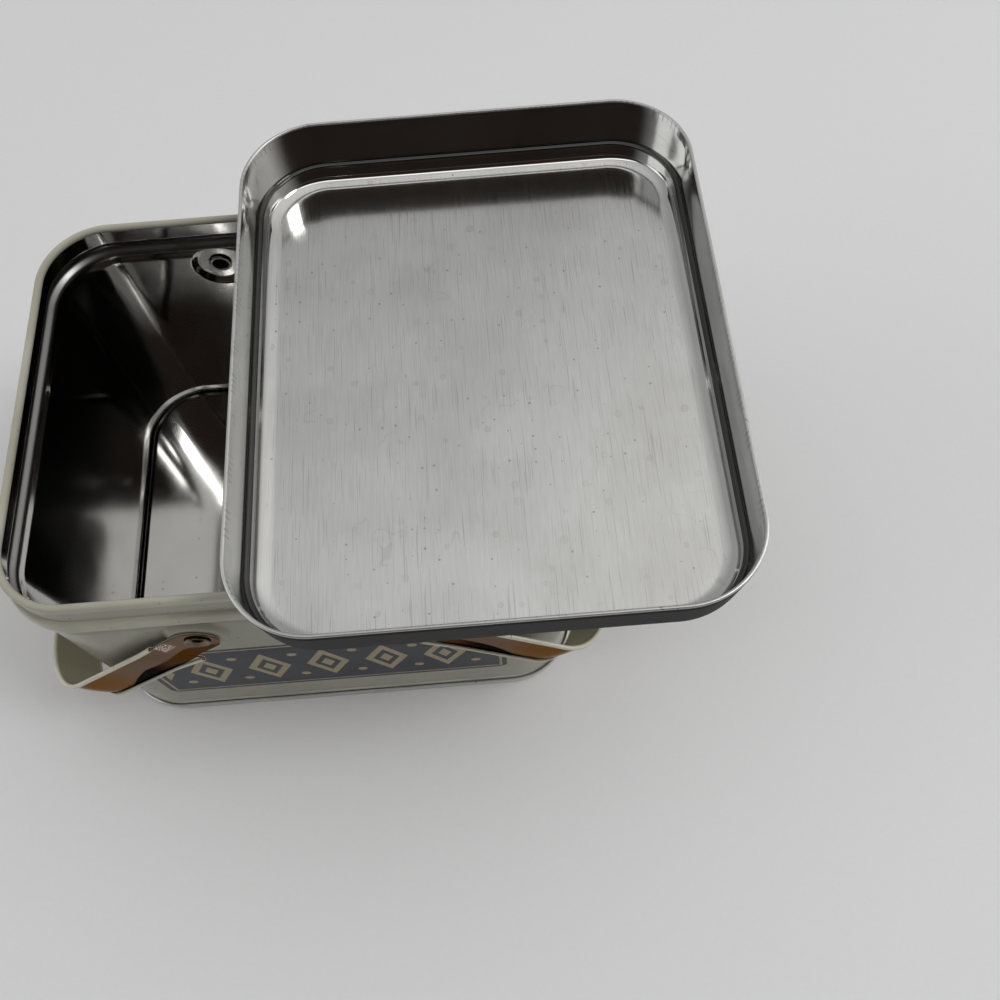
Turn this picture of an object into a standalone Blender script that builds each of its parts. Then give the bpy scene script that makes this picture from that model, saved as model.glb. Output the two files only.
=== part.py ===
"""A small tinplate trinket tin, shaped like a picnic basket, with two swing handles.

The tin has a rolled rim, a bead under its collar and a base panel seamed to its foot.
A loose slip lid lies upside down and crosswise on the rim. Each handle is a strap of
tinplate that turns on two hollow rivets, one in the front wall and one in the back.

Lengths are in metres. X runs along the tin, Y from front to back and Z up. The origin
is the middle of the base panel's underside, which the seamed foot holds off the table.
"""

import math

import bmesh
import bpy
from mathutils import Matrix, Vector

MM = 0.001

# Sheet and fits
SHEET = 0.30 * MM                # tinplate of the wall, base and lid
STRAP_SHEET = 0.35 * MM          # tinplate of the handles
TUBE_WALL = 0.35 * MM            # brass sheet of the hollow rivets
REST_GAP = 0.30 * MM             # between pieces that lie on each other
RIVET_GAP = 0.20 * MM            # between a rivet's heads and what they hold
TURN_CLEARANCE = 0.25 * MM       # round a rivet in its holes

# Tin wall
BODY_LENGTH = 102.0 * MM         # along X, over the flat walls
BODY_DEPTH = 83.6 * MM           # along Y, over the flat walls
BODY_HEIGHT = 68.0 * MM          # from the foot to the top of the rim
CORNER_RADIUS = 13.7 * MM        # upright corners, on the outside of the wall
CURL_DIAMETER = 1.5 * MM         # rolled rim, over its outside
CURL_TURN = 265.0                # degrees that the rim is rolled through, to the inside
COLLAR_INSET = 0.35 * MM         # collar's outside behind the wall's outside
COLLAR_HEIGHT = 5.7 * MM         # from the rim's top to the bead
BEAD_PROUD = 0.84 * MM           # bead's outside in front of the wall's outside
BEAD_UPPER = 2.5 * MM            # height of the bead above its widest line
BEAD_LOWER = 2.5 * MM            # height of the bead below its widest line

# Base and its seam
BASE_RECESS = 2.5 * MM           # base panel's underside above the foot
SEAM_HEIGHT = 2.6 * MM           # height of the hook that grips the wall's foot
SEAM_GAP = 0.20 * MM             # on each side of the wall in the hook
SEAM_CORNER = 0.40 * MM          # outside radius of the hook's two lower corners
PANEL_CORNER = 1.20 * MM         # outside radius where the panel turns down

# Lid
LID_PROUD = 0.90 * MM            # hem's outside in front of the wall's outside
LID_HEM_HEIGHT = 1.80 * MM       # edge folded up inside the skirt
LID_HEM_GAP = 0.10 * MM          # between the two layers of the hem
LID_SKIRT = 10.0 * MM            # from the open edge to the shoulder's outside
LID_DRAFT = 0.85 * MM            # skirt leans in by this much over its height
LID_SHOULDER_RADIUS = 0.85 * MM  # outside radius between skirt and ledge
LID_LEDGE = 0.25 * MM            # flat ledge between the shoulder and the raised top
LID_TOP_RISE = 3.6 * MM          # raised top above the ledge
LID_TOP_LEAN = 0.35 * MM         # its wall leans in by this much
LID_TOP_RADIUS = 1.35 * MM       # outside radius round the raised top

# Where the lid lies
LID_REST_X = 36.4 * MM
LID_REST_Y = -2.1 * MM

# Bosses and rivets
PIVOT_SPACING = 37.9 * MM        # between the two handles' axes
PIVOT_DROP = 15.95 * MM          # axes below the top of the rim
BOSS_RADIUS = 6.1 * MM           # pressed boss at its foot
BOSS_FACE_RADIUS = 4.7 * MM      # flat face of the boss
BOSS_PROUD = 1.0 * MM
RIVET_RADIUS = 1.95 * MM         # outside of the hollow shank
RIVET_HEAD_RADIUS = 2.4 * MM     # rolled heads, inside and outside

# Handles
TAB_RADIUS = 4.4 * MM            # round end of the strap
TAB_TIP = 3.6 * MM               # from the axis to the strap's end
STRAP_WIDTH = 10.6 * MM          # over the rolled edges
STRAP_ROLL = 0.95 * MM           # diameter of the rolled edges
STRAP_ROLL_TURN = 235.0          # degrees that the edges are rolled through, outwards
STRAP_CROWN = 0.35 * MM          # the strap's middle bulges outwards by this much
STRAP_LIFT = 0.30 * MM           # the strap steps outwards from its flat ends
STRAP_LIFT_START = 5.0 * MM      # the step begins this far from the axis
STRAP_LIFT_RUN = 8.0 * MM        # and takes this length
EDGE_START = 8.2 * MM            # rolled edges begin this far from the axis
HANDLE_REACH = 18.0 * MM         # a level handle's grip stands this far off the end wall
HANDLE_BEND = 14.0 * MM          # bend radius between leg and grip
LEFT_HANG_GAP = 2.0 * MM         # stiff rivets hold the hanging left grip this far off the wall
RIGHT_HANG_GAP = 0.9 * MM        # and the right one this far

# Fineness
CORNER_STEPS = 8
CURL_STEPS = 7
BEND_STEPS = 7
WEB_STEPS = 3
ROLL_STEPS = 4
ROUND_STEPS = 16

# Places that follow from the sizes
Z_FOOT = -BASE_RECESS
Z_RIM = Z_FOOT + BODY_HEIGHT
Z_PIVOT = Z_RIM - PIVOT_DROP
PIVOT_X = PIVOT_SPACING / 2
PIVOT_INSET = BODY_LENGTH / 2 - PIVOT_X
BOSS_FACE_Y = BODY_DEPTH / 2 + BOSS_PROUD
TAB_INNER_Y = BOSS_FACE_Y + RIVET_GAP
TAB_OUTER_Y = TAB_INNER_Y + STRAP_SHEET
HOLE_RADIUS = RIVET_RADIUS + TURN_CLEARANCE
LID_HEIGHT = LID_SKIRT + LID_TOP_RISE

# Colours, linear
CREAM = (0.45, 0.44, 0.36)
COPPER = (0.26, 0.12, 0.07)
TIN = (0.55, 0.55, 0.52)
BRASS = (0.38, 0.22, 0.12)


def clear_scene():
    """Remove every object, so the model stands by itself."""
    for thing in list(bpy.data.objects):
        bpy.data.objects.remove(thing, do_unlink=True)


def new_collection(name):
    """A collection linked to the scene."""
    found = bpy.data.collections.new(name)
    bpy.context.scene.collection.children.link(found)
    return found


def new_material(name, colour, roughness, metallic):
    """One Principled material."""
    material = bpy.data.materials.new(name)
    material.use_nodes = True
    shader = material.node_tree.nodes["Principled BSDF"]
    shader.inputs["Base Color"].default_value = (*colour, 1.0)
    shader.inputs["Roughness"].default_value = roughness
    shader.inputs["Metallic"].default_value = metallic
    return material


def add_part(name, mesh, material, collection):
    """An object for a finished mesh, with smooth round faces."""
    mesh.name = name
    mesh.materials.clear()
    mesh.materials.append(material)
    mesh.shade_smooth()
    mesh.set_sharp_from_angle(angle=math.radians(35))
    part = bpy.data.objects.new(name, mesh)
    collection.objects.link(part)
    return part


def add_cutter(name, mesh):
    """A tool body: seen as wires, never rendered, and not a piece of the tin."""
    mesh.name = name
    cutter = bpy.data.objects.new(name, mesh)
    cutter.hide_render = True
    cutter.display_type = "WIRE"
    cutters.objects.link(cutter)
    return cutter


def evaluated_mesh(thing):
    """The mesh that an object's modifiers or bevel give, as a new datablock."""
    bpy.context.view_layer.update()
    graph = bpy.context.evaluated_depsgraph_get()
    return bpy.data.meshes.new_from_object(thing.evaluated_get(graph))


def boolean(part, operation, cutter):
    """Join or cut a part with a tool body."""
    step = part.modifiers.new(cutter.name, "BOOLEAN")
    step.operation = operation
    step.solver = "EXACT"
    step.object = cutter


def arc(centre, radius, start, end, steps):
    """Points on an arc in a section plane, angles in degrees."""
    points = []
    for k in range(steps + 1):
        angle = math.radians(start + (end - start) * k / steps)
        points.append((centre[0] + radius * math.cos(angle), centre[1] + radius * math.sin(angle)))
    return points


def rounded_outline(length, depth, radius):
    """Corner points of a rounded rectangle, anticlockwise from above."""
    points = []
    for sx, sy, start in ((1, -1, -90), (1, 1, 0), (-1, 1, 90), (-1, -1, 180)):
        centre = (sx * (length / 2 - radius), sy * (depth / 2 - radius))
        points += arc(centre, radius, start, start + 90, CORNER_STEPS)
    return points


def line_curve(name, points, closed):
    """A flat curve of straight runs through 2D points."""
    curve = bpy.data.curves.new(name, "CURVE")
    curve.dimensions = "2D"
    spline = curve.splines.new("POLY")
    spline.points.add(len(points) - 1)
    for point, (x, y) in zip(spline.points, points):
        point.co = (x, y, 0.0, 1.0)
    spline.use_cyclic_u = closed
    return bpy.data.objects.new(name, curve)


def swept_sheet(name, length, depth, radius, section, closed_middle):
    """A sheet's middle surface: a section carried round a rounded rectangle.

    The section is a list of (outward, up) points measured from the outline. A flat
    closed curve takes its bevel section's +X inwards, so the section is turned over.
    Where it ends on a flat panel, closed_middle fills the panel with one face.
    """
    path = line_curve(name + "_path", rounded_outline(length, depth, radius), True)
    profile = line_curve(name + "_section", [(-out, up) for out, up in section], False)
    cutters.objects.link(path)
    cutters.objects.link(profile)
    path.data.bevel_mode = "OBJECT"
    path.data.bevel_object = profile
    mesh = evaluated_mesh(path)
    bpy.data.objects.remove(path)
    bpy.data.objects.remove(profile)

    form = bmesh.new()
    form.from_mesh(mesh)
    bmesh.ops.remove_doubles(form, verts=form.verts, dist=1e-7)
    if closed_middle:
        height = section[-1][1]
        reach = length / 2 + section[-1][0]
        border = []
        for edge in form.edges:
            ends = [vert.co for vert in edge.verts]
            inside = all(abs(co.z - height) < 1e-6 and abs(co.x) < reach + 1e-6 for co in ends)
            if edge.is_boundary and inside:
                border.append(edge)
        bmesh.ops.contextual_create(form, geom=border)
    bmesh.ops.recalc_face_normals(form, faces=form.faces)
    form.to_mesh(mesh)
    form.free()
    return mesh


def thicken(part, thickness):
    """Give a middle surface its sheet thickness, half to each side."""
    step = part.modifiers.new("sheet", "SOLIDIFY")
    step.thickness = thickness
    step.offset = 0.0
    step.use_even_offset = True
    step.use_quality_normals = True


def turned(name, profile, steps):
    """A turned body about Z from a closed (radius, height) profile."""
    mesh = bpy.data.meshes.new(name)
    verts = [(r, 0.0, z) for r, z in profile]
    edges = [(k, (k + 1) % len(profile)) for k in range(len(profile))]
    on_axis = min(r for r, z in profile) < 1e-9
    if on_axis:
        edges.pop()
    mesh.from_pydata(verts, edges, [])
    blank = bpy.data.objects.new(name, mesh)
    cutters.objects.link(blank)
    step = blank.modifiers.new("turn", "SCREW")
    step.steps = steps
    step.render_steps = steps
    step.use_merge_vertices = True
    step.merge_threshold = 1e-6
    result = evaluated_mesh(blank)
    bpy.data.objects.remove(blank)
    form = bmesh.new()
    form.from_mesh(result)
    bmesh.ops.remove_doubles(form, verts=form.verts, dist=1e-7)
    bmesh.ops.recalc_face_normals(form, faces=form.faces)
    form.to_mesh(result)
    form.free()
    return result


def joined_copies(mesh, places):
    """One mesh with a copy of the body at each place."""
    form = bmesh.new()
    for place in places:
        copy = mesh.copy()
        copy.transform(place)
        form.from_mesh(copy)
        bpy.data.meshes.remove(copy)
    result = bpy.data.meshes.new(mesh.name + "_set")
    form.to_mesh(result)
    form.free()
    return result


def pivot_place(side_x, side_y, offset):
    """Frame on a handle's axis whose +Z points out of the front or back wall."""
    turn = Matrix.Rotation(math.radians(-90.0 * side_y), 4, "X")
    spot = Vector((side_x * PIVOT_X, side_y * offset, Z_PIVOT))
    return Matrix.Translation(spot) @ turn


PIVOTS = {
    "front_left": (-1, -1),
    "front_right": (1, -1),
    "back_left": (-1, 1),
    "back_right": (1, 1),
}


def wall_section():
    """Middle line of the wall, from its foot up to the end of the rolled rim."""
    wall = -SHEET / 2
    collar = -COLLAR_INSET - SHEET / 2
    widest = BEAD_PROUD - SHEET / 2
    z_bead_top = Z_RIM - COLLAR_HEIGHT
    z_widest = z_bead_top - BEAD_UPPER
    z_bead_foot = z_widest - BEAD_LOWER
    points = [(wall, Z_FOOT + SHEET + SEAM_GAP)]
    lower_steps = 4
    for k in range(lower_steps + 1):
        share = (1 - math.cos(math.pi * k / lower_steps)) / 2
        points.append((wall + (widest - wall) * share, z_bead_foot + BEAD_LOWER * k / lower_steps))
    upper_steps = 5
    for k in range(1, upper_steps + 1):
        angle = math.pi / 2 * k / upper_steps
        outward = collar + (widest - collar) * math.cos(angle)
        points.append((outward, z_widest + BEAD_UPPER * math.sin(angle)))
    radius = (CURL_DIAMETER - SHEET) / 2
    centre = (collar - radius, Z_RIM - CURL_DIAMETER / 2)
    points += arc(centre, radius, 0, CURL_TURN, CURL_STEPS)
    return points


def boss_profile(sink):
    """Closed profile of a pressed boss, (radius, height above the wall's outside).

    The outer form has no sink. The inner form is the same one sunk by the sheet.
    """
    shrink = 0.7 * sink
    base = -SHEET / 2 - 2.5 * sink
    points = [(0.0, BOSS_PROUD - sink)]
    steps = 5
    for k in range(steps + 1):
        share = k / steps
        radius = BOSS_FACE_RADIUS + (BOSS_RADIUS - BOSS_FACE_RADIUS) * share - shrink
        drop = BOSS_PROUD * (1 - math.cos(math.pi * share)) / 2
        points.append((radius, BOSS_PROUD - sink - drop))
    points.append((BOSS_RADIUS - shrink, base))
    points.append((0.0, base))
    return points


def make_wall():
    """Side wall with its collar, bead, rolled rim and four pierced bosses."""
    mesh = swept_sheet("body_wall", BODY_LENGTH, BODY_DEPTH, CORNER_RADIUS, wall_section(), False)
    part = add_part("body_wall", mesh, cream, tin)
    thicken(part, SHEET)
    places = [pivot_place(sx, sy, BODY_DEPTH / 2) for sx, sy in PIVOTS.values()]
    pressed = turned("boss_outer", boss_profile(0.0), ROUND_STEPS)
    boolean(part, "UNION", add_cutter("bosses_outer", joined_copies(pressed, places)))
    hollow = turned("boss_inner", boss_profile(SHEET), ROUND_STEPS)
    boolean(part, "DIFFERENCE", add_cutter("bosses_inner", joined_copies(hollow, places)))
    reach = 3 * BOSS_PROUD
    punch = [(0.0, reach), (HOLE_RADIUS, reach), (HOLE_RADIUS, -reach), (0.0, -reach)]
    drill = turned("boss_hole", punch, ROUND_STEPS)
    boolean(part, "DIFFERENCE", add_cutter("boss_holes", joined_copies(drill, places)))
    return part


def make_base():
    """Base panel whose edge turns down and hooks round the wall's foot."""
    half = SHEET / 2
    hook = SEAM_GAP + half
    chuck = -SHEET - SEAM_GAP - half
    corner = SEAM_CORNER - half
    z_low = Z_FOOT + half
    panel_corner = PANEL_CORNER - half
    points = [(hook, Z_FOOT + SEAM_HEIGHT)]
    points += arc((hook - corner, z_low + corner), corner, 0, -90, 3)
    points += arc((chuck + corner, z_low + corner), corner, 270, 180, 3)
    points += arc((chuck - panel_corner, half - panel_corner), panel_corner, 0, 90, 4)
    mesh = swept_sheet("base_panel", BODY_LENGTH, BODY_DEPTH, CORNER_RADIUS, points, True)
    part = add_part("base_panel", mesh, tin_metal, tin)
    thicken(part, SHEET)
    return part


def lid_section():
    """Middle line of the lid as it sits when closed, from hem to raised top."""
    half = SHEET / 2
    skirt = LID_PROUD - half
    fold = (SHEET + LID_HEM_GAP) / 2
    z_shoulder = LID_SKIRT - half
    shoulder = LID_SHOULDER_RADIUS - half
    lean = LID_DRAFT / (LID_SKIRT - LID_SHOULDER_RADIUS)
    points = [(skirt - 2 * fold - lean * LID_HEM_HEIGHT, LID_HEM_HEIGHT)]
    points += arc((skirt - fold, half + fold), fold, 180, 360, 4)
    upper = skirt - LID_DRAFT
    points += arc((upper - shoulder, z_shoulder - shoulder), shoulder, 0, 90, 3)
    foot = upper - shoulder - LID_LEDGE
    z_top = LID_HEIGHT - half
    top = LID_TOP_RADIUS - half
    points.append((foot, z_shoulder))
    head = foot - LID_TOP_LEAN
    points += arc((head - top, z_top - top), top, 0, 90, 4)
    return points


def make_lid():
    """Slip lid, lying upside down and crosswise on the rim."""
    mesh = swept_sheet("lid", BODY_LENGTH, BODY_DEPTH, CORNER_RADIUS, lid_section(), True)
    part = add_part("lid", mesh, tin_metal, tin)
    thicken(part, SHEET)
    part.location = (LID_REST_X, LID_REST_Y, Z_RIM + REST_GAP + LID_HEIGHT)
    part.rotation_euler = (math.pi, 0.0, math.pi / 2)
    return part


def strap_half_web():
    """Half width of the crowned web, and the slope angle at its border."""
    roll = (STRAP_ROLL - STRAP_SHEET) / 2
    reach = STRAP_WIDTH / 2 - STRAP_ROLL / 2
    slope = math.atan(2 * STRAP_CROWN / reach)
    return reach - roll * math.sin(slope), slope


def strap_section():
    """Half of the strap's section as (across, outward) points from its middle line.

    The web is a shallow crown. Its border is rolled outwards and back over the web.
    """
    web, slope = strap_half_web()
    roll = (STRAP_ROLL - STRAP_SHEET) / 2
    points = []
    for k in range(WEB_STEPS + 1):
        n = web * k / WEB_STEPS
        points.append((n, STRAP_CROWN * (1 - (n / web) ** 2)))
    centre = (web + roll * math.sin(slope), roll * math.cos(slope))
    start = -90 - math.degrees(slope)
    points += arc(centre, roll, start, start + STRAP_ROLL_TURN, ROLL_STEPS)[1:]
    return points


def strap_stations():
    """Stations along the strap: distance out from the axis, Y, facing angle, how far the
    step outwards is complete, and in the flat tab only, its half width."""
    y_leg = TAB_INNER_Y + STRAP_SHEET / 2
    grip = PIVOT_INSET + HANDLE_REACH + STRAP_SHEET / 2
    web, slope = strap_half_web()
    stations = []
    for angle in (14, 34, 54, 74):
        turn = math.radians(angle)
        out = TAB_RADIUS * (1 - math.cos(turn)) - TAB_TIP
        stations.append((out, -y_leg, 0.0, 0.0, TAB_RADIUS * math.sin(turn)))
    stations.append((STRAP_LIFT_START, -y_leg, 0.0, 0.0, TAB_RADIUS))
    lift_steps = 4
    outs = [STRAP_LIFT_START + STRAP_LIFT_RUN * k / lift_steps for k in range(1, lift_steps + 1)]
    for out in sorted(outs + [EDGE_START]):
        done = min(1.0, (out - STRAP_LIFT_START) / STRAP_LIFT_RUN)
        share = (1 - math.cos(math.pi * done)) / 2
        tab = TAB_RADIUS if out < EDGE_START else None
        stations.append((out, -y_leg, 0.0, share, tab))
    for k in range(BEND_STEPS + 1):
        turn = math.pi / 2 * k / BEND_STEPS
        out = grip - HANDLE_BEND + HANDLE_BEND * math.sin(turn)
        across = -y_leg + HANDLE_BEND - HANDLE_BEND * math.cos(turn)
        stations.append((out, across, turn, 1.0, None))
    back = []
    for out, across, turn, lift, tab in reversed(stations):
        back.append((out, -across, math.pi - turn, lift, tab))
    return stations + back


def make_strap_mesh():
    """Middle surface of one handle, in the frame of its axis.

    X runs out along the legs, Y along the axis and Z across the strap. A primitive grid
    has one row for each station and one column for each point of the section. In the
    flat tabs only the columns of the web stay.
    """
    side = strap_section()
    section = [(-n, d) for n, d in reversed(side[1:])] + side
    middle = len(side) - 1
    stations = strap_stations()
    columns = len(section)
    rows = len(stations)
    form = bmesh.new()
    bmesh.ops.create_grid(form, x_segments=columns - 1, y_segments=rows - 1, size=1.0)
    spare = []
    for vert in form.verts:
        column = round((vert.co.x + 1) / 2 * (columns - 1))
        row = round((vert.co.y + 1) / 2 * (rows - 1))
        out, across, turn, lift, tab = stations[row]
        n, d = section[column]
        if tab is not None:
            n = tab * (column - middle) / WEB_STEPS
            if abs(column - middle) > WEB_STEPS:
                spare.append(vert)
        if abs(column - middle) > WEB_STEPS:
            d = d + STRAP_LIFT * lift
        else:
            d = (d + STRAP_LIFT) * lift
        vert.co = (out + d * math.sin(turn), across - d * math.cos(turn), n)
    bmesh.ops.delete(form, geom=spare, context="VERTS")
    bmesh.ops.recalc_face_normals(form, faces=form.faces)
    mesh = bpy.data.meshes.new("strap")
    form.to_mesh(mesh)
    form.free()
    return mesh


def hanging_angle(gap):
    """Angle below level at which the handle hangs beside the end wall.

    The rolled edge of the grip has its centre at (reach, drop) in the handle's frame.
    Turning it down by the angle brings it the gap short of the wall.
    """
    web, slope = strap_half_web()
    roll = (STRAP_ROLL - STRAP_SHEET) / 2
    grip = PIVOT_INSET + HANDLE_REACH + STRAP_SHEET / 2
    reach = grip + STRAP_LIFT + roll * math.cos(slope)
    drop = STRAP_WIDTH / 2 - STRAP_ROLL / 2
    goal = PIVOT_INSET + gap + STRAP_ROLL / 2
    return math.acos(goal / math.hypot(reach, drop)) - math.atan2(drop, reach)


def make_handles():
    """Two like straps, each hung on its own axis and turned down beside an end wall."""
    mesh = make_strap_mesh()
    reach = 2 * BOSS_PROUD
    punch = [(0.0, reach), (HOLE_RADIUS, reach), (HOLE_RADIUS, -reach), (0.0, -reach)]
    drill = turned("tab_hole", punch, ROUND_STEPS)
    handles = []
    hung = (("handle_left", -1, LEFT_HANG_GAP), ("handle_right", 1, RIGHT_HANG_GAP))
    for name, side, gap in hung:
        part = add_part(name, mesh.copy(), copper, tin)
        thicken(part, STRAP_SHEET)
        angle = hanging_angle(gap)
        heading = 0.0 if side > 0 else math.pi
        part.matrix_world = (
            Matrix.Translation((side * PIVOT_X, 0.0, Z_PIVOT))
            @ Matrix.Rotation(heading, 4, "Z")
            @ Matrix.Rotation(angle, 4, "Y")
        )
        places = [pivot_place(side, sy, TAB_INNER_Y) for sy in (-1, 1)]
        holes = add_cutter(name + "_holes", joined_copies(drill, places))
        boolean(part, "DIFFERENCE", holes)
        handles.append(part)
    return handles


def rivet_profile():
    """Closed profile of a hollow rivet, height measured outwards from the wall's face."""
    bore = RIVET_RADIUS - TUBE_WALL
    out_low = BOSS_PROUD + RIVET_GAP + STRAP_SHEET + RIVET_GAP
    out_high = out_low + TUBE_WALL
    in_high = BOSS_PROUD - SHEET - RIVET_GAP
    in_low = in_high - TUBE_WALL
    ease = 0.35 * TUBE_WALL
    return [
        (RIVET_RADIUS, out_low),
        (RIVET_HEAD_RADIUS, out_low),
        (RIVET_HEAD_RADIUS, out_high - ease),
        (RIVET_HEAD_RADIUS - ease, out_high),
        (bore + ease, out_high),
        (bore, out_high - ease),
        (bore, in_low + ease),
        (bore + ease, in_low),
        (RIVET_HEAD_RADIUS - ease, in_low),
        (RIVET_HEAD_RADIUS, in_low + ease),
        (RIVET_HEAD_RADIUS, in_high),
        (RIVET_RADIUS, in_high),
    ]


def make_rivets():
    """Four hollow rivets, clinched inside the bosses."""
    mesh = turned("rivet", rivet_profile(), ROUND_STEPS)
    for name, (side_x, side_y) in PIVOTS.items():
        part = add_part("rivet_" + name, mesh.copy(), brass, tin)
        part.matrix_world = pivot_place(side_x, side_y, BODY_DEPTH / 2)


clear_scene()
tin = new_collection("trinket_tin")
cutters = new_collection("trinket_tin_cutters")
cream = new_material("cream_enamel", CREAM, 0.35, 0.0)
copper = new_material("copper_lacquer", COPPER, 0.28, 0.9)
tin_metal = new_material("bare_tinplate", TIN, 0.25, 1.0)
brass = new_material("rivet_brass", BRASS, 0.3, 1.0)

make_wall()
make_base()
make_lid()
make_handles()
make_rivets()
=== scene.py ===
"""Looks of the trinket tin: a basket-shaped tinplate box with swing handles and a loose lid.

The lengths below are in millimetres times MM, in the frame of the CAD model: X along the
tin, Y from front to back, Z up from the base panel's underside.
"""

import math

import bpy
import numpy as np
from mathutils import Matrix


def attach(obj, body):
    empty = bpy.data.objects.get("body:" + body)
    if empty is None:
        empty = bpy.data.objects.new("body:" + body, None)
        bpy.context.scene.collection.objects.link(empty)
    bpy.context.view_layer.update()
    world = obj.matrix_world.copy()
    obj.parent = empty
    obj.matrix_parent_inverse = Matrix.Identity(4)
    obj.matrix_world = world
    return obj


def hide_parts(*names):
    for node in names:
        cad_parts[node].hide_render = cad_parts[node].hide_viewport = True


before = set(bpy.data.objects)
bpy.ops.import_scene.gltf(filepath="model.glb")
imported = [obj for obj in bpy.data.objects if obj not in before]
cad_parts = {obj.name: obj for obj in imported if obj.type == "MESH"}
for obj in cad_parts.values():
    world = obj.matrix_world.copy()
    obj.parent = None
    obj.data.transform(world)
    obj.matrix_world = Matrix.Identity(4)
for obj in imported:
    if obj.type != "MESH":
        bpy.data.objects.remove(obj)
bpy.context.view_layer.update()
MM = 0.001

# Studio
# The camera looks steeply down on the tin from its front. A pale sweep lies under it, and a
# large soft ceiling gives the bright metal a pale side to mirror and a dark one.
CAMERA_PLACE = (37.79 * MM, -98.04 * MM, 217.62 * MM)
CAMERA_PITCH = math.radians(65.096)
CAMERA_YAW = math.radians(-0.005)
CAMERA_ROLL = math.radians(-4.575)
FOCAL_PIXELS = 968.15
PICTURE_PIXELS = 1000
SENSOR = 36.0
CLIP_START = 5 * MM
Z_TABLE = -2.5 * MM

scene = bpy.context.scene
scene.view_settings.view_transform = "Standard"


def shown(name, data):
    """An object in the scene for a camera, a lamp or a mesh."""
    thing = bpy.data.objects.new(name, data)
    scene.collection.objects.link(thing)
    return thing


camera_data = bpy.data.cameras.new("camera")
camera_data.sensor_width = SENSOR
camera_data.lens = FOCAL_PIXELS / PICTURE_PIXELS * SENSOR
camera_data.clip_start = CLIP_START
scene.camera = shown("camera", camera_data)
looking = Matrix.Rotation(-CAMERA_YAW, 4, "Z") @ Matrix.Rotation(math.pi / 2 - CAMERA_PITCH, 4, "X")
looking @= Matrix.Rotation(CAMERA_ROLL, 4, "Z")
scene.camera.matrix_world = Matrix.Translation(CAMERA_PLACE) @ looking


def put(source, socket):
    """Set a socket to a number, vector or opaque colour, or link an output to it."""
    if isinstance(source, bpy.types.NodeSocket):
        socket.id_data.links.new(source, socket)
    else:
        socket.default_value = (*source, 1.0) if socket.type == "RGBA" else source


def add_node(tree, kind, values=None, **settings):
    """One node with its settings, and with numbers or outputs put into its inputs."""
    node = tree.nodes.new(kind)
    for key, value in settings.items():
        setattr(node, key, value)
    for key, value in (values or {}).items():
        put(value, node.inputs[key])
    return node


def tree_of(sources):
    """Node tree of the first output among the sources."""
    return next(source.id_data for source in sources if isinstance(source, bpy.types.NodeSocket))


def calc(operation, *sources):
    """Output of a math node that works on numbers or outputs."""
    values = dict(enumerate(sources))
    return add_node(tree_of(sources), "ShaderNodeMath", values, operation=operation).outputs[0]


def product(*sources):
    """Product of numbers and outputs."""
    result = sources[0]
    for source in sources[1:]:
        result = calc("MULTIPLY", result, source)
    return result


def ramp(source, low, high, at_low=0.0, at_high=1.0):
    """Output that eases from at_low to at_high while the source goes from low to high."""
    values = dict(enumerate((source, low, high, at_low, at_high)))
    tree = tree_of(values.values())
    return add_node(tree, "ShaderNodeMapRange", values, interpolation_type="SMOOTHSTEP").outputs[0]


def fade(source, low, high):
    """Output that eases from 1 to 0 while the source goes from low to high."""
    return ramp(source, low, high, 1.0, 0.0)


def mixed(share, first, second):
    """Colour that goes from the first to the second with the share."""
    values = {0: share, 6: first, 7: second}
    return add_node(tree_of(values.values()), "ShaderNodeMix", values, data_type="RGBA").outputs[2]


def noise(vector, scale, detail):
    """Height of a cloudy noise, 0 to 1, with that many clouds to the metre and finer ones."""
    values = {"Vector": vector, "Scale": scale, "Detail": detail}
    return add_node(vector.id_data, "ShaderNodeTexNoise", values).outputs[0]


def parted(vector):
    """The three outputs of a vector."""
    return add_node(vector.id_data, "ShaderNodeSeparateXYZ", {0: vector}).outputs


def feed(shader, **sources):
    """Put numbers, colours or outputs into a shader's inputs by name."""
    for key, source in sources.items():
        put(source, shader.inputs[key.replace("_", " ")])


def new_material(name, **values):
    """A material, its tree, its Principled shader with those constants, and Object coordinates."""
    material = bpy.data.materials.new(name)
    material.use_nodes = True
    tree = material.node_tree
    shader = tree.nodes["Principled BSDF"]
    feed(shader, **values)
    return material, tree, shader, add_node(tree, "ShaderNodeTexCoord").outputs["Object"]


SWEEP_COLOUR = (0.82, 0.825, 0.83)
SWEEP_SHADE = (0.79, 0.795, 0.80)
SWEEP_HALF = 3.0
PAPER_FIBRES = (900.0, 2.0)
sweep_mesh = bpy.data.meshes.new("sweep")
sweep_corners = [(-1, -1), (1, -1), (1, 1), (-1, 1)]
sweep_mesh.from_pydata(
    [(SWEEP_HALF * x, SWEEP_HALF * y, Z_TABLE) for x, y in sweep_corners], [], [(0, 1, 2, 3)]
)
sweep = shown("sweep", sweep_mesh)
sweep_material, tree, shader, coords = new_material("sweep_paper", Roughness=0.9)
feed(shader, Base_Color=mixed(noise(coords, *PAPER_FIBRES), SWEEP_SHADE, SWEEP_COLOUR))
sweep_mesh.materials.append(sweep_material)

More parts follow.
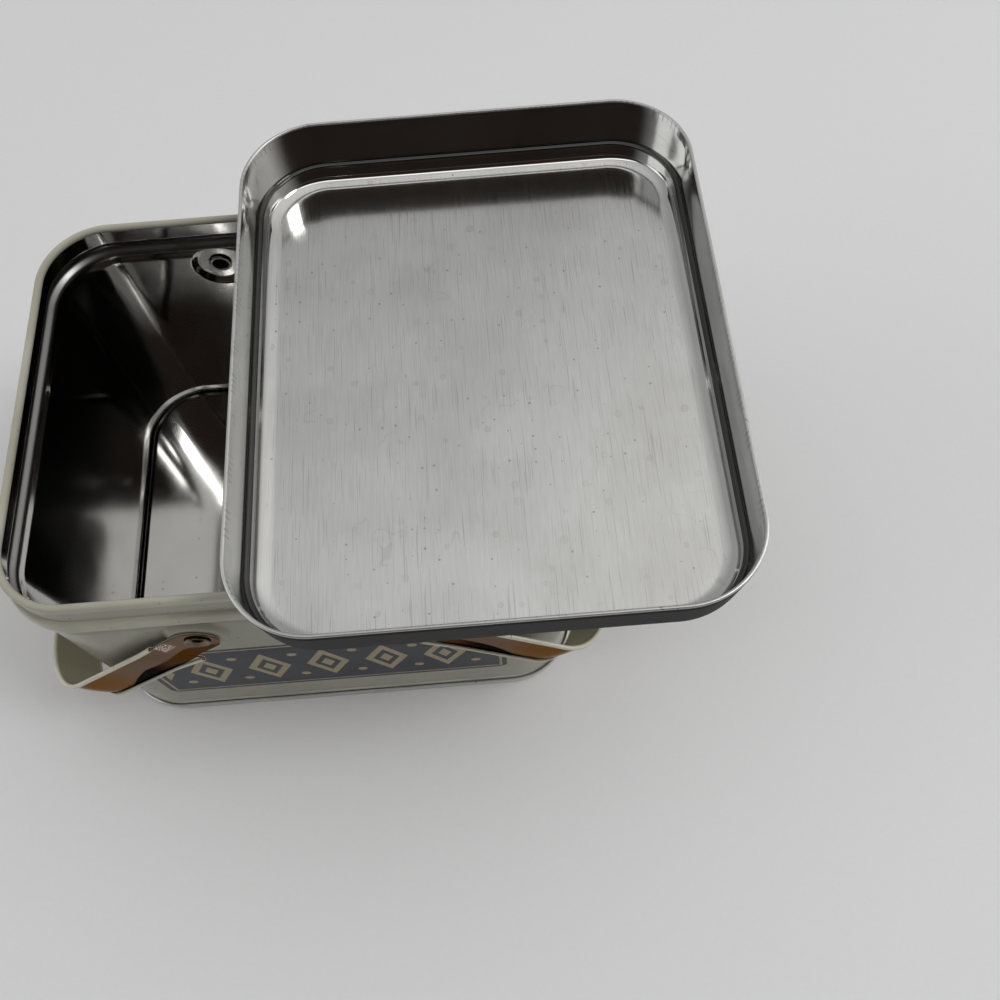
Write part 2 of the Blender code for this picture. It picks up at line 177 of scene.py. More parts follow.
# The world has a pale backdrop near the horizon, a ceiling above it with a brighter side and
# one bright strip, and the dark end of the room behind the camera. They fade between the
# given parts of a direction. Camera rays see the backdrop everywhere.
BACKGROUND = (0.62, 0.625, 0.64)
BACKGROUND_FADE = (0.02, 0.22)
CEILING_LOW = (0.46, 0.46, 0.465)
CEILING_HIGH = (0.74, 0.74, 0.745)
CEILING_RISE = (0.66, 0.97)
BRIGHT_COLOUR = (0.98, 0.97, 0.96)
BRIGHT_SIDE = (0.55, 0.05, 0.83)
BRIGHT_RISE = (0.66, 1.0)
DARK_COLOUR = (0.030, 0.021, 0.018)
DARK_END = (-0.30, -0.12)
DARK_SIDES = (0.55, 0.85)
DARK_RISE = (0.04, 0.20)
STRIP_COLOUR = (2.20, 2.17, 2.12)
STRIP_START = (-0.34, -0.28)
STRIP_END = (-0.25, -0.18)
STRIP_RISE = (0.80, 0.90)

world = bpy.data.worlds.new("studio")
scene.world = world
world.use_nodes = True
tree = world.node_tree
tree.nodes.clear()
heading = add_node(tree, "ShaderNodeTexCoord").outputs["Generated"]
across, ahead, up = parted(heading)
bright = add_node(tree, "ShaderNodeVectorMath", {0: heading, 1: BRIGHT_SIDE}, operation="DOT_PRODUCT")
ceiling = mixed(ramp(up, *CEILING_RISE), CEILING_LOW, CEILING_HIGH)
ceiling = mixed(ramp(bright.outputs["Value"], *BRIGHT_RISE), ceiling, BRIGHT_COLOUR)
room = mixed(fade(up, *BACKGROUND_FADE), ceiling, BACKGROUND)
within = fade(calc("ABSOLUTE", across), *DARK_SIDES)
room = mixed(product(fade(ahead, *DARK_END), within, ramp(up, *DARK_RISE)), room, DARK_COLOUR)
strip = product(ramp(ahead, *STRIP_START), fade(ahead, *STRIP_END), within, ramp(up, *STRIP_RISE))
dome = add_node(tree, "ShaderNodeBackground", {"Color": mixed(strip, room, STRIP_COLOUR)})
backdrop = add_node(tree, "ShaderNodeBackground", {"Color": BACKGROUND})
camera_ray = add_node(tree, "ShaderNodeLightPath").outputs["Is Camera Ray"]
seen = add_node(tree, "ShaderNodeMixShader", {0: camera_ray, 1: dome.outputs[0], 2: backdrop.outputs[0]})
add_node(tree, "ShaderNodeOutputWorld", {0: seen.outputs[0]})

# A round lamp high at the right gives the glints and a soft shadow, a low soft box at the
# right the shine on the handles' edges, and one at the left lights the shadow side. Each is
# its place, its size and its power.
LAMPS = {
    "round_lamp": ((0.66, -0.14, 0.98), 0.34, 2.4),
    "soft_box": ((1.05, 0.05, 0.24), 0.50, 2.0),
    "side_box": ((-0.95, -0.05, 0.50), 0.70, 1.5),
}
for name, (place, size, power) in LAMPS.items():
    lamp_data = bpy.data.lights.new(name, "AREA")
    lamp_data.shape = "DISK"
    lamp_data.size = size
    lamp_data.energy = power
    lamp = shown(name, lamp_data)
    lamp.location = place
    lamp_pitch = math.atan2(math.hypot(place[0], place[1]), place[2])
    lamp.rotation_euler = (0.0, lamp_pitch, math.atan2(place[1], place[0]))

# Side wall
# One strip of tinplate, printed cream outside and bright inside. Its foot stands in the
# base's seam, a bead is rolled out below the collar, the rim is curled inwards, and two
# bosses in the front and two in the back are pierced for the handles' rivets.
SHEET = 0.30 * MM
HALF_LENGTH = 51.0 * MM
HALF_DEPTH = 41.8 * MM
BODY_CORNER = 13.7 * MM
CORNER_STEPS = 24
Z_RIM = 65.5 * MM
SEAM_GAP = 0.20 * MM
COLLAR_INSET = 0.35 * MM
COLLAR_HEIGHT = 5.7 * MM
BEAD_PROUD = 0.84 * MM
BEAD_UPPER = 2.5 * MM
BEAD_LOWER = 1.15 * MM
BEAD_BEND = 0.3
NECK_DEPTH = 0.35 * MM
NECK_RUN = 3.5 * MM
GROOVE_RADIUS = 0.35 * MM
CURL_DIAMETER = 1.5 * MM
CURL_TURN = 265.0
PIVOT_X = 18.95 * MM
Z_PIVOT = 49.55 * MM
BOSS_RADIUS = 6.1 * MM
BOSS_FACE_RADIUS = 4.7 * MM
BOSS_PROUD = 1.0 * MM
BOSS_FILLET = 0.3 * MM
BOSS_BELOW_COLLAR = 0.8 * MM
HOLE_RADIUS = 2.2 * MM
HOLE_MARGIN = 0.05 * MM
WARP_INNER = 6.5 * MM
WARP_OUTER = 8.6 * MM
NEAR_CORNER = 0.4 * MM
OFF_CORNER = 3.0 * MM
SHARP_FOLD = math.radians(55)


def smooth_step(value):
    """0 below 0, 1 above 1, and an even S-curve between."""
    t = np.clip(value, 0.0, 1.0)
    return t * t * (3 - 2 * t)


def arc_points(centre, radius, start, end, steps):
    """The centre plus the radius times cosine and sine of evenly spaced angles, in degrees."""
    turn = np.radians(np.linspace(start, end, steps + 1))
    return np.stack([centre[0] + radius * np.cos(turn), centre[1] + radius * np.sin(turn)], axis=1)


def rounded_path(along_x, along_y, corner_steps):
    """Points and outward normals round the tin's outline, anticlockwise from the front.

    The sides take the given distances from their middles. The corners are quarter circles.
    """
    turn = np.radians(np.linspace(0, 90, corner_steps + 1)[1:-1])
    long_side = (along_x, HALF_DEPTH, straight_x)
    short_side = (along_y, HALF_LENGTH, straight_y)
    points = []
    normals = []
    for k in range(4):
        start = math.radians(90 * k - 90)
        outward = np.array([math.cos(start), math.sin(start)])
        onward = np.array([-outward[1], outward[0]])
        side, reach, run = long_side if k % 2 == 0 else short_side
        points.append(outward * reach + np.outer(side, onward))
        normals.append(np.tile(outward, (len(side), 1)))
        round_corner = np.stack([np.cos(start + turn), np.sin(start + turn)], axis=1)
        centre = outward * (reach - BODY_CORNER) + onward * run
        points.append(centre + BODY_CORNER * round_corner)
        normals.append(round_corner)
    return np.concatenate(points), np.concatenate(normals)


def swept_grid(path, section):
    """Rows for the section's points, columns for the path's: path + normal x out, at height up."""
    points, normals = path
    flat = points[None] + normals[None] * section[:, 0, None, None]
    height = np.broadcast_to(section[:, 1, None, None], flat.shape[:2] + (1,))
    return np.concatenate([flat, height], axis=2)


def mesh_object(name, points, faces, marks=None):
    """An object at the origin for points and faces, smooth except at sharp folds."""
    mesh = bpy.data.meshes.new(name)
    mesh.from_pydata(points.tolist(), [], faces)
    for key, values in (marks or {}).items():
        attribute = mesh.attributes.new(key, "FLOAT", "POINT")
        attribute.data.foreach_set("value", values.astype(np.float32))
    mesh.shade_smooth()
    mesh.set_sharp_from_angle(angle=SHARP_FOLD)
    return shown(name, mesh)


def thick_sheet(name, grid, thickness, keep=None, ring=False, filled=False, marks=None):
    """A closed body of even thickness round a middle surface.

    The grid holds its points in rows and columns, and keep says which quads are there. A
    ring's columns join up. Each point moves half the thickness along the mean normal of
    its quads, once to each side, and every open border is walled. Where it is filled, one
    flat face closes the last row on each side. The mark "face" is 1 on the normals' side.
    """
    rows, columns = grid.shape[:2]
    wide = columns if ring else columns - 1
    if keep is None:
        keep = np.ones((rows - 1, wide), bool)
    r, c = np.nonzero(keep)
    c2 = (c + 1) % columns
    at = np.arange(rows * columns).reshape(rows, columns)
    quads = np.stack([at[r, c], at[r, c2], at[r + 1, c2], at[r + 1, c]], axis=1)
    flat = grid.reshape(-1, 3)
    p = flat[quads]
    normal = np.cross(p[:, 2] - p[:, 0], p[:, 3] - p[:, 1])
    normal /= np.linalg.norm(normal, axis=1, keepdims=True) + 1e-20
    mean = np.zeros_like(flat)
    for k in range(4):
        np.add.at(mean, quads[:, k], normal)
    mean /= np.linalg.norm(mean, axis=1, keepdims=True) + 1e-20
    count = len(flat)
    points = np.concatenate([flat + mean * thickness / 2, flat - mean * thickness / 2])

    padded = np.zeros((rows + 1, wide + 2), bool)
    padded[1:-1, 1:-1] = keep
    if ring:
        padded[:, 0] = padded[:, -2]
        padded[:, -1] = padded[:, 1]
    walls = []
    borders = (
        (padded[:-2, 1:-1], 0, 1),
        (padded[1:-1, 2:], 1, 2),
        (padded[2:, 1:-1], 2, 3),
        (padded[1:-1, :-2], 3, 0),
    )
    for beside, a, b in borders:
        open_edge = ~beside[r, c]
        if filled and a == 2:
            open_edge &= r < rows - 2
        start = quads[open_edge, a]
        end = quads[open_edge, b]
        walls.append(np.stack([end, start, start + count, end + count], axis=1))
    faces = np.concatenate([quads, quads[:, ::-1] + count] + walls)
    used = np.unique(faces)
    place = np.zeros(2 * count, int)
    place[used] = np.arange(len(used))
    faces = place[faces].tolist()
    if filled:
        faces.append(place[at[-1]].tolist())
        faces.append(place[at[-1][::-1] + count].tolist())
    found = {"face": (used < count).astype(float)}
    for key, values in (marks or {}).items():
        found[key] = np.tile(values.ravel(), 2)[used]
    return mesh_object(name, points[used], faces, found)


def chained(start, *spans):
    """Numbers from the start through each span's end, in the span's count of even steps."""
    numbers = [start]
    for end, steps in spans:
        numbers.extend(np.linspace(numbers[-1], end, steps + 1)[1:])
    return np.array(numbers)


def bead_offset(z):
    """Wall's middle line outwards, by height.

    It is flat, falls along a cosine into a shallow neck, runs out along a slight S to the
    bead's widest place, and comes back above it along a quarter ellipse.
    """
    wall = -SHEET / 2
    neck = wall - NECK_DEPTH
    widest = BEAD_PROUD - SHEET / 2
    away = np.clip((z_neck - z) / NECK_RUN, 0, 1)
    below = neck + (wall - neck) * (1 - np.cos(math.pi * away)) / 2
    rise = np.clip((z - z_neck) / BEAD_LOWER, 0, 1)
    bend = BEAD_BEND * np.sin(2 * math.pi * rise) / (2 * math.pi)
    slope = neck + (widest - neck) * (rise - bend)
    climb = np.clip((z - z_widest) / BEAD_UPPER, 0, 1)
    inner = collar + GROOVE_RADIUS
    upper = inner + (widest - inner) * np.sqrt(1 - climb * climb)
    return np.where(z < z_neck, below, np.where(z < z_widest, slope, upper))


def pressed_boss(grid):
    """Grid with the four bosses: near each pivot, squares become circles and are pushed out.

    A point (u, v) from the centre, whose larger part is m, moves to (u, v) x m / length,
    fading out beyond the boss. The push falls along a cosine from the face to the foot, and
    joins the bead by the larger of the two, with a small fillet.
    """
    grid = grid.copy()
    holes = np.zeros(grid.shape[:2], bool)
    for side_y in (-1, 1):
        for side_x in (-1, 1):
            u = grid[..., 0] - side_x * PIVOT_X
            v = grid[..., 2] - Z_PIVOT
            m = np.maximum(np.abs(u), np.abs(v))
            near = (m < WARP_OUTER) & (grid[..., 1] * side_y > 0)
            near &= grid[..., 2] < Z_RIM - COLLAR_HEIGHT - BOSS_BELOW_COLLAR
            away = np.hypot(u, v) + 1e-12
            share = 1 - smooth_step((m - WARP_INNER) / (WARP_OUTER - WARP_INNER))
            pull = 1 + (m / away - 1) * share
            grid[..., 0] = np.where(near, side_x * PIVOT_X + u * pull, grid[..., 0])
            grid[..., 2] = np.where(near, Z_PIVOT + v * pull, grid[..., 2])
            radius = away * pull
            fall = (radius - BOSS_FACE_RADIUS) / (BOSS_RADIUS - BOSS_FACE_RADIUS)
            push = BOSS_PROUD * (1 + np.cos(math.pi * np.clip(fall, 0, 1))) / 2
            base = bead_offset(grid[..., 2]) + SHEET / 2
            meet = np.maximum(0, 1 - np.abs(base - push) / BOSS_FILLET) ** 2 * BOSS_FILLET / 4
            meet *= np.clip(push / BOSS_FILLET, 0, 1) * np.clip(base / BOSS_FILLET, 0, 1)
            push = push + np.minimum(base, 0) * (1 - push / BOSS_PROUD)
            out = np.maximum(base, push) + meet - SHEET / 2
            grid[..., 1] = np.where(near, side_y * (HALF_DEPTH + out), grid[..., 1])
            holes |= near & (m < HOLE_RADIUS - HOLE_MARGIN)
    return grid, holes


straight_x = HALF_LENGTH - BODY_CORNER
straight_y = HALF_DEPTH - BODY_CORNER
z_widest = Z_RIM - COLLAR_HEIGHT - BEAD_UPPER
z_neck = z_widest - BEAD_LOWER
collar = -COLLAR_INSET - SHEET / 2

# The grid's lines are closest on the bosses' sloping sides and at the corners' ends
slope_start = BOSS_FACE_RADIUS - BOSS_FILLET
lines = chained(0.0, (HOLE_RADIUS, 6), (slope_start, 6), (WARP_INNER, 11), (WARP_OUTER, 11))
lines = np.concatenate([-lines[:0:-1], lines])
off_corner = straight_x - OFF_CORNER
beyond = chained(PIVOT_X + WARP_OUTER, (off_corner, 3), (straight_x - NEAR_CORNER, 1), (straight_x, 1))[1:]
gap_end = PIVOT_X - WARP_OUTER
gap = np.linspace(-gap_end, gap_end, 8)[1:-1]
along_x = np.concatenate([-beyond[::-1], -PIVOT_X + lines, gap, PIVOT_X + lines, beyond])
off_corner = straight_y - OFF_CORNER
beyond = chained(off_corner, (straight_y - NEAR_CORNER, 1), (straight_y, 1))
along_y = np.concatenate([-beyond[::-1], np.linspace(-off_corner, off_corner, 9)[1:-1], beyond])
wall_path = rounded_path(along_x, along_y, CORNER_STEPS)

z_lines = Z_PIVOT + lines
wall_foot = Z_TABLE + SHEET + SEAM_GAP
z_wall = np.concatenate([np.linspace(wall_foot, z_lines[0], 14)[:-1], z_lines])
bead_turn = np.linspace(math.asin((z_lines[-1] - z_widest) / BEAD_UPPER), math.pi / 2, 9)[1:]
z_bead = z_widest + BEAD_UPPER * np.sin(bead_turn)
curl_radius = (CURL_DIAMETER - SHEET) / 2
wall_section = np.concatenate([
    np.stack([bead_offset(z_wall), z_wall], axis=1),
    np.stack([bead_offset(z_bead), z_bead], axis=1),
    arc_points((collar + GROOVE_RADIUS, z_bead[-1] + GROOVE_RADIUS), GROOVE_RADIUS, 270, 180, 6)[1:],
    arc_points((collar - curl_radius, Z_RIM - CURL_DIAMETER / 2), curl_radius, 0, CURL_TURN, 26),
])
wall_grid, wall_holes = pressed_boss(swept_grid(wall_path, wall_section))
solid = np.roll(wall_holes, -1, axis=1) | wall_holes
solid = ~(solid[:-1] | solid[1:])
tin_wall = thick_sheet("tin_wall", wall_grid, SHEET, keep=solid, ring=True)


def new_group(name, inputs, outputs):
    """A node group that takes a vector and the named numbers, and gives named numbers."""
    group = bpy.data.node_groups.new(name, "ShaderNodeTree")
    group.interface.new_socket("Vector", in_out="INPUT", socket_type="NodeSocketVector")
    for key in inputs:
        group.interface.new_socket(key, in_out="INPUT", socket_type="NodeSocketFloat")
    for key in outputs:
        group.interface.new_socket(key, in_out="OUTPUT", socket_type="NodeSocketFloat")
    given = add_node(group, "NodeGroupInput").outputs
    wanted = add_node(group, "NodeGroupOutput").inputs
    return group, given, wanted


def placed_group(group, vector, **values):
    """Outputs of a group that stands in the vector's material with its own values."""
    values["Vector"] = vector
    return add_node(vector.id_data, "ShaderNodeGroup", values, node_tree=group).outputs


def mark(tree, name):
    """Output of a mark at the mesh's points."""
    return add_node(tree, "ShaderNodeAttribute", attribute_name=name).outputs["Fac"]


def stained_or_shaded(colour, mask, share, stain):
    """Colour that goes toward the stain by the mask times the share; the stain is real dirt in some places
    and painted shade or reflection in others.
    """
    return mixed(product(mask, share), colour, stain)


def bumped(shader, height, distance):
    """Tilt the shader's normal by a height, 0 to 1, of that many metres."""
    values = {"Strength": 1.0, "Distance": distance, "Height": height}
    feed(shader, Normal=add_node(shader.id_data, "ShaderNodeBump", values).outputs[0])


def apart(source, place):
    """Distance of an output from a place, to either side."""
    return calc("ABSOLUTE", calc("SUBTRACT", source, place))


def band(source, place, near, far):
    """1 where the source is nearer to the place than near, easing to 0 at far."""
    return fade(apart(source, place), near, far)


# Grain of rolled tinplate: fine lines along Y, thin in X, and broad clouds
GRAIN_SQUEEZE = (1.0, 0.014, 0.014)
GRAIN_DETAIL = 3.0
CLOUD_NOISE = (60.0, 4.0)
rolled_grain, given, wanted = new_group("rolled_grain", ("Lines",), ("Grain", "Clouds"))
values = {0: given["Vector"], 1: GRAIN_SQUEEZE}
squeezed = add_node(rolled_grain, "ShaderNodeVectorMath", values, operation="MULTIPLY").outputs[0]
put(noise(squeezed, given["Lines"], GRAIN_DETAIL), wanted["Grain"])
put(noise(given["Vector"], *CLOUD_NOISE), wanted["Clouds"])


def flat_place(x, y, z, level):
    """Place on the sheet as a flat vector: along and up on a wall, X and Y where it is level."""
    values = {0: ramp(level, 0.0, 1.0, calc("ADD", x, y), x), 1: ramp(level, 0.0, 1.0, z, y)}
    return add_node(x.id_data, "ShaderNodeCombineXYZ", values).outputs[0]


def scattered(vector, cells, share, sizes):
    """Dots in chance cells: distance over radius, 1 where a cell has its dot, and its shade.

    The sizes are how much the radius varies and the least radius, both in cells.
    """
    values = {"Vector": vector, "Scale": cells}
    dots = add_node(vector.id_data, "ShaderNodeTexVoronoi", values, voronoi_dimensions="2D").outputs
    chance, size, shade = parted(dots["Color"])
    radius = calc("MULTIPLY_ADD", size, *sizes)
    return calc("DIVIDE", dots["Distance"], radius), calc("LESS_THAN", chance, share), shade


# Marks of handling: small dark specks, smudges that dull the shine, hair scratches, and
# dried water spots, which are soft round stains with a slightly darker ring
SPECK_SIZES = (0.10, 0.03)
SPECK_EDGE = (0.6, 1.0)
SMUDGE_NOISE = (42.0, 4.0)
SMUDGE_RISE = (0.42, 0.66)
HAIR_NOISE = (110.0, 1.0)
HAIRS = (0.5, 0.0, 0.005)
RARE_NOISE = (75.0, 0.0)
RARE_RISE = (0.58, 0.66)
SPOT_CELLS = 250.0
SPOT_SHARE = 0.30
SPOT_SIZES = (0.10, 0.10)
SPOT_EDGE = (0.7, 1.0, 0.45, 0.0)
SPOT_RING = (0.9, 0.0, 0.16)
handling, given, wanted = new_group(
    "handling", ("Cells", "Share"), ("Specks", "Smudges", "Scratches", "Spots")
)
place = given["Vector"]
from_middle, kept, _ = scattered(place, given["Cells"], given["Share"], SPECK_SIZES)
put(product(fade(from_middle, *SPECK_EDGE), kept), wanted["Specks"])
put(ramp(noise(place, *SMUDGE_NOISE), *SMUDGE_RISE), wanted["Smudges"])
hair = band(noise(place, *HAIR_NOISE), *HAIRS)
put(product(hair, ramp(noise(place, *RARE_NOISE), *RARE_RISE)), wanted["Scratches"])
from_middle, kept, shade = scattered(place, SPOT_CELLS, SPOT_SHARE, SPOT_SIZES)
spot = calc("MAXIMUM", band(from_middle, *SPOT_RING), ramp(from_middle, *SPOT_EDGE))
put(product(spot, shade, kept), wanted["Spots"])

# The print: a navy panel with a thin border and a row of tan lozenges, and a line below it
NAVY = (0.013, 0.016, 0.026)
TAN = (0.36, 0.30, 0.19)
PANEL_HALF = 36.5 * MM
PANEL_LOW = 10.6 * MM
PANEL_HIGH = 38.5 * MM
PANEL_ROUND = 2.0 * MM
BORDER_INSET = 1.3 * MM
BORDER_WIDTH = 0.5 * MM
MOTIF_END = (PANEL_HALF - 2.6 * MM, PANEL_HALF - 2.5 * MM)
HALF_PITCH = 6.0 * MM
LOZENGE_HALF = 4.4 * MM
LOZENGE_TALL = 9.0 * MM
LOZENGE_EDGES = (0.98, 0.60, 0.30)
LOZENGE_FADE = 0.04
DOT_RISE = 7.0 * MM
DOT_RADIUS = 1.0 * MM
RULE_SHARE = 0.5
INK_EDGE = 0.06 * MM
RULE = (7.4 * MM, BORDER_WIDTH / 2, BORDER_WIDTH / 2 + INK_EDGE)


def length(a, b):
    """Square root of a squared plus b squared."""
    return calc("SQRT", calc("MULTIPLY_ADD", a, a, product(b, b)))


def printed_ornament(x, z):
    """Masks of the panel and of its ornament, from the place on the front wall.

    The panel is where the distance outside a smaller rectangle stays below its corners'
    radius. A lozenge is where across / half + up / tall stays below 1.
    """
    half_tall = (PANEL_HIGH - PANEL_LOW) / 2
    off_x = calc("ABSOLUTE", x)
    off_z = apart(z, (PANEL_LOW + PANEL_HIGH) / 2)
    out_x = calc("MAXIMUM", calc("SUBTRACT", off_x, PANEL_HALF - PANEL_ROUND), 0.0)
    out_z = calc("MAXIMUM", calc("SUBTRACT", off_z, half_tall - PANEL_ROUND), 0.0)
    panel = fade(length(out_x, out_z), PANEL_ROUND - INK_EDGE, PANEL_ROUND + INK_EDGE)
    border_x = calc("SUBTRACT", PANEL_HALF - BORDER_INSET, off_x)
    border_z = calc("SUBTRACT", half_tall - BORDER_INSET, off_z)
    from_border = calc("ABSOLUTE", calc("MINIMUM", border_x, border_z))
    border = fade(from_border, BORDER_WIDTH / 2, BORDER_WIDTH / 2 + INK_EDGE)
    off_dot = calc("PINGPONG", calc("ADD", x, HALF_PITCH), HALF_PITCH)
    off_lozenge = calc("SUBTRACT", HALF_PITCH, off_dot)
    spread = calc("ADD", calc("DIVIDE", off_lozenge, LOZENGE_HALF), calc("DIVIDE", off_z, LOZENGE_TALL))
    solid, hollow, core = (fade(spread, edge, edge + LOZENGE_FADE) for edge in LOZENGE_EDGES)
    lozenge = calc("ADD", calc("SUBTRACT", solid, hollow), core)
    from_dot = length(off_dot, calc("SUBTRACT", off_z, DOT_RISE))
    dot = fade(from_dot, DOT_RADIUS - INK_EDGE, DOT_RADIUS + INK_EDGE)
    motif = product(calc("MAXIMUM", lozenge, dot), fade(off_x, *MOTIF_END))
    return panel, product(calc("MAXIMUM", motif, border), panel)


# A stain or painted shade is its share and its colour, and waves are their scale and detail. A
# roughness is what smudges or grain add and what is there without them. The cream is painted
# darker away from the bead and the rim: painted shade on the collar and the wall, which face
# sideways, while the bead's upper slope and the curl face up.
CREAM = (0.51, 0.50, 0.415)
CREAM_SHADE = (0.42, 0.41, 0.33)
CREAM_CLOUDS = (0.35, 0.70)
CREAM_PAINTED_SHADE = (0.5, (0.27, 0.262, 0.21))
CREAM_SPECKS = (0.6, (0.12, 0.09, 0.06))
CREAM_ROUGH = (0.10, 0.17)
LIGHT_PLACE = z_widest + 0.6 * MM
LIGHT_REACH = (1.2 * MM, 2.4 * MM)
RIM_REACH = (Z_RIM - 1.8 * MM, Z_RIM - 1.2 * MM)
FRONT_REACH = (-HALF_DEPTH + 0.2 * MM, -HALF_DEPTH + 0.3 * MM)
TINPLATE = (0.62, 0.615, 0.60)
TINPLATE_SHADE = (0.50, 0.495, 0.48)
# The bright tin's painted shade in the bead's hollow: its share and its colour.
TIN_BEAD_SHADE = (0.75, (0.15, 0.15, 0.145))
TIN_SPECKS = (0.5, (0.20, 0.19, 0.18))
TIN_ROUGH = (0.035, 0.075)
BEAD_ROUGH = 0.25
BEAD_BAND = (z_widest - BEAD_LOWER / 2, 0.8 * MM, 1.6 * MM)
WALL_WAVES = (55.0, 1.0)
WALL_WAVE = 0.10 * MM
FACE_EDGE = (0.35, 0.65)

wall_material, tree, shader, coords = new_material("cream_print", Specular_IOR_Level=0.09)
x, y, z = parted(coords)
grain = placed_group(rolled_grain, coords, Lines=2600.0)
marks = placed_group(handling, flat_place(x, y, z, 0.0), Cells=420.0, Share=0.10)
painted = ramp(mark(tree, "face"), *FACE_EDGE)
cream = mixed(ramp(grain["Clouds"], *CREAM_CLOUDS), CREAM_SHADE, CREAM)
# Painted shade: the cream is darker on the collar and the wall than on the bead's upper slope and the rim
# curl, which face up and catch more light.
shaded_off_bead = product(ramp(apart(z, LIGHT_PLACE), *LIGHT_REACH), fade(z, *RIM_REACH))
cream = stained_or_shaded(cream, shaded_off_bead, *CREAM_PAINTED_SHADE)
panel, ornament = printed_ornament(x, z)
in_front = fade(y, *FRONT_REACH)
rule_end = fade(calc("ABSOLUTE", x), PANEL_HALF, PANEL_HALF + INK_EDGE)
rule = product(band(z, *RULE), rule_end, RULE_SHARE)
outside = mixed(product(panel, in_front), cream, NAVY)
outside = mixed(product(calc("MAXIMUM", ornament, rule), in_front), outside, TAN)
outside = stained_or_shaded(outside, marks["Specks"], *CREAM_SPECKS)
inside = mixed(grain["Clouds"], TINPLATE_SHADE, TINPLATE)
inside = stained_or_shaded(inside, marks["Specks"], *TIN_SPECKS)
in_bead = band(z, *BEAD_BAND)
# Painted shade: the bright tin darkens in the bead's hollow, which dims what it mirrors there.
inside = stained_or_shaded(inside, in_bead, *TIN_BEAD_SHADE)
outside_rough = calc("MULTIPLY_ADD", marks["Smudges"], *CREAM_ROUGH)
inside_rough = calc("MULTIPLY_ADD", marks["Smudges"], *TIN_ROUGH)
inside_rough = calc("MULTIPLY_ADD", in_bead, BEAD_ROUGH, inside_rough)
feed(
    shader,
    Base_Color=mixed(painted, inside, outside),
    Metallic=calc("SUBTRACT", 1.0, painted),
    Roughness=ramp(painted, 0.0, 1.0, inside_rough, outside_rough),
)
bumped(shader, noise(coords, *WALL_WAVES), WALL_WAVE)
tin_wall.data.materials.append(wall_material)
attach(tin_wall, "tin")
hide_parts("body_wall")

# Base
# A pressed tinplate panel. Its edge turns down with a small round shoulder and hooks round
# the wall's foot, which stands it a little off the table.
SEAM_HEIGHT = 2.6 * MM
SEAM_CORNER = 0.40 * MM
PANEL_CORNER = 0.80 * MM
FALL_SLOPE = 14.0
FALL_RUN = 0.7 * MM
FALL_SHARES = np.array([0.12, 0.5, 0.88, 1.0])
FLOOR_STEPS = (0.2 * MM, 0.8 * MM)
BASE_LEVEL = (-0.8 * MM, -0.4 * MM)
BASE_SPECKS = (0.7, (0.16, 0.15, 0.14))
BASE_ROUGH = (0.05, 0.085)
BASE_WAVES = (40.0, 1.0)

half = SHEET / 2
hook = SEAM_GAP + half
chuck = -SHEET - SEAM_GAP - half
seam_corner = SEAM_CORNER - half
panel_corner = PANEL_CORNER - half
fall_turn = math.radians(FALL_SLOPE)
fall_end = chuck - panel_corner * (1 - math.sin(fall_turn))
fall_drop = FALL_RUN * math.tan(fall_turn)
corner_centre = (chuck - panel_corner, half - fall_drop - panel_corner * math.cos(fall_turn))
base_section = np.concatenate([
    [(hook, Z_TABLE + SEAM_HEIGHT)],
    arc_points((hook - seam_corner, Z_TABLE + half + seam_corner), seam_corner, 0, -90, 6),
    arc_points((chuck + seam_corner, Z_TABLE + half + seam_corner), seam_corner, 270, 180, 6),
    arc_points(corner_centre, panel_corner, 0, 90 - FALL_SLOPE, 12),
    np.stack([fall_end - FALL_RUN * FALL_SHARES, half - fall_drop * (1 - FALL_SHARES)], axis=1),
    [(fall_end - FALL_RUN - step, half) for step in FLOOR_STEPS],
])
base_path = rounded_path(
    np.linspace(-straight_x, straight_x, 12), np.linspace(-straight_y, straight_y, 10), CORNER_STEPS
)
tin_base = thick_sheet("tin_base", swept_grid(base_path, base_section), SHEET, ring=True, filled=True)
base_material, tree, shader, coords = new_material("bright_tinplate", Metallic=1.0)
x, y, z = parted(coords)
grain = placed_group(rolled_grain, coords, Lines=2600.0)
marks = placed_group(handling, flat_place(x, y, z, ramp(z, *BASE_LEVEL)), Cells=380.0, Share=0.12)
plate = mixed(grain["Clouds"], TINPLATE_SHADE, TINPLATE)
feed(
    shader,
    Base_Color=stained_or_shaded(plate, marks["Specks"], *BASE_SPECKS),
    Roughness=calc("MULTIPLY_ADD", marks["Smudges"], *BASE_ROUGH),
)
bumped(shader, noise(coords, *BASE_WAVES), WALL_WAVE)
tin_base.data.materials.append(base_material)
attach(tin_base, "tin")
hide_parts("base_panel")

# Rivets
# Four hollow brass rivets. A dished flange holds the strap outside, and the other end is
# clinched flat inside the boss. Their bores are stopped by a thin web at the inner end, and
# the bores, the web and the dish's inner part are painted dark as painted shade of the hole.
RIVET_RADIUS = 1.95 * MM
RIVET_HEAD = 2.4 * MM
RIVET_STEPS = 72
TUBE_WALL = 0.35 * MM
RIVET_GAP = 0.20 * MM
HEAD_GAP = 0.05 * MM
CLINCH = 0.25 * MM
DISH_RIM = 0.12 * MM
DISH_FALL = 0.03 * MM
DISH_DEEP = 0.42 * MM
DISH_HOLE = 1.00 * MM
DISH_EDGE = 0.12 * MM
DISH_LIP = 0.15 * MM
BORE_WEB = 0.20 * MM
WEB_INSET = 0.05 * MM
STRAP_SHEET = 0.35 * MM
BORE_REACH = (0.02 * MM, 0.10 * MM)
DISH_SHADE = 0.35
DEEP_EDGE = (0.1, 0.8)
DEEP_METALLIC = 0.2
DEEP_ROUGH = 0.7
BRASS = (0.105, 0.068, 0.043)
BRASS_WORN = (0.17, 0.12, 0.080)
BRASS_SPECKS = (0.6, (0.10, 0.06, 0.04))
BRASS_ROUGH = (0.16, 0.12)
WEAR_NOISE = (900.0, 3.0)
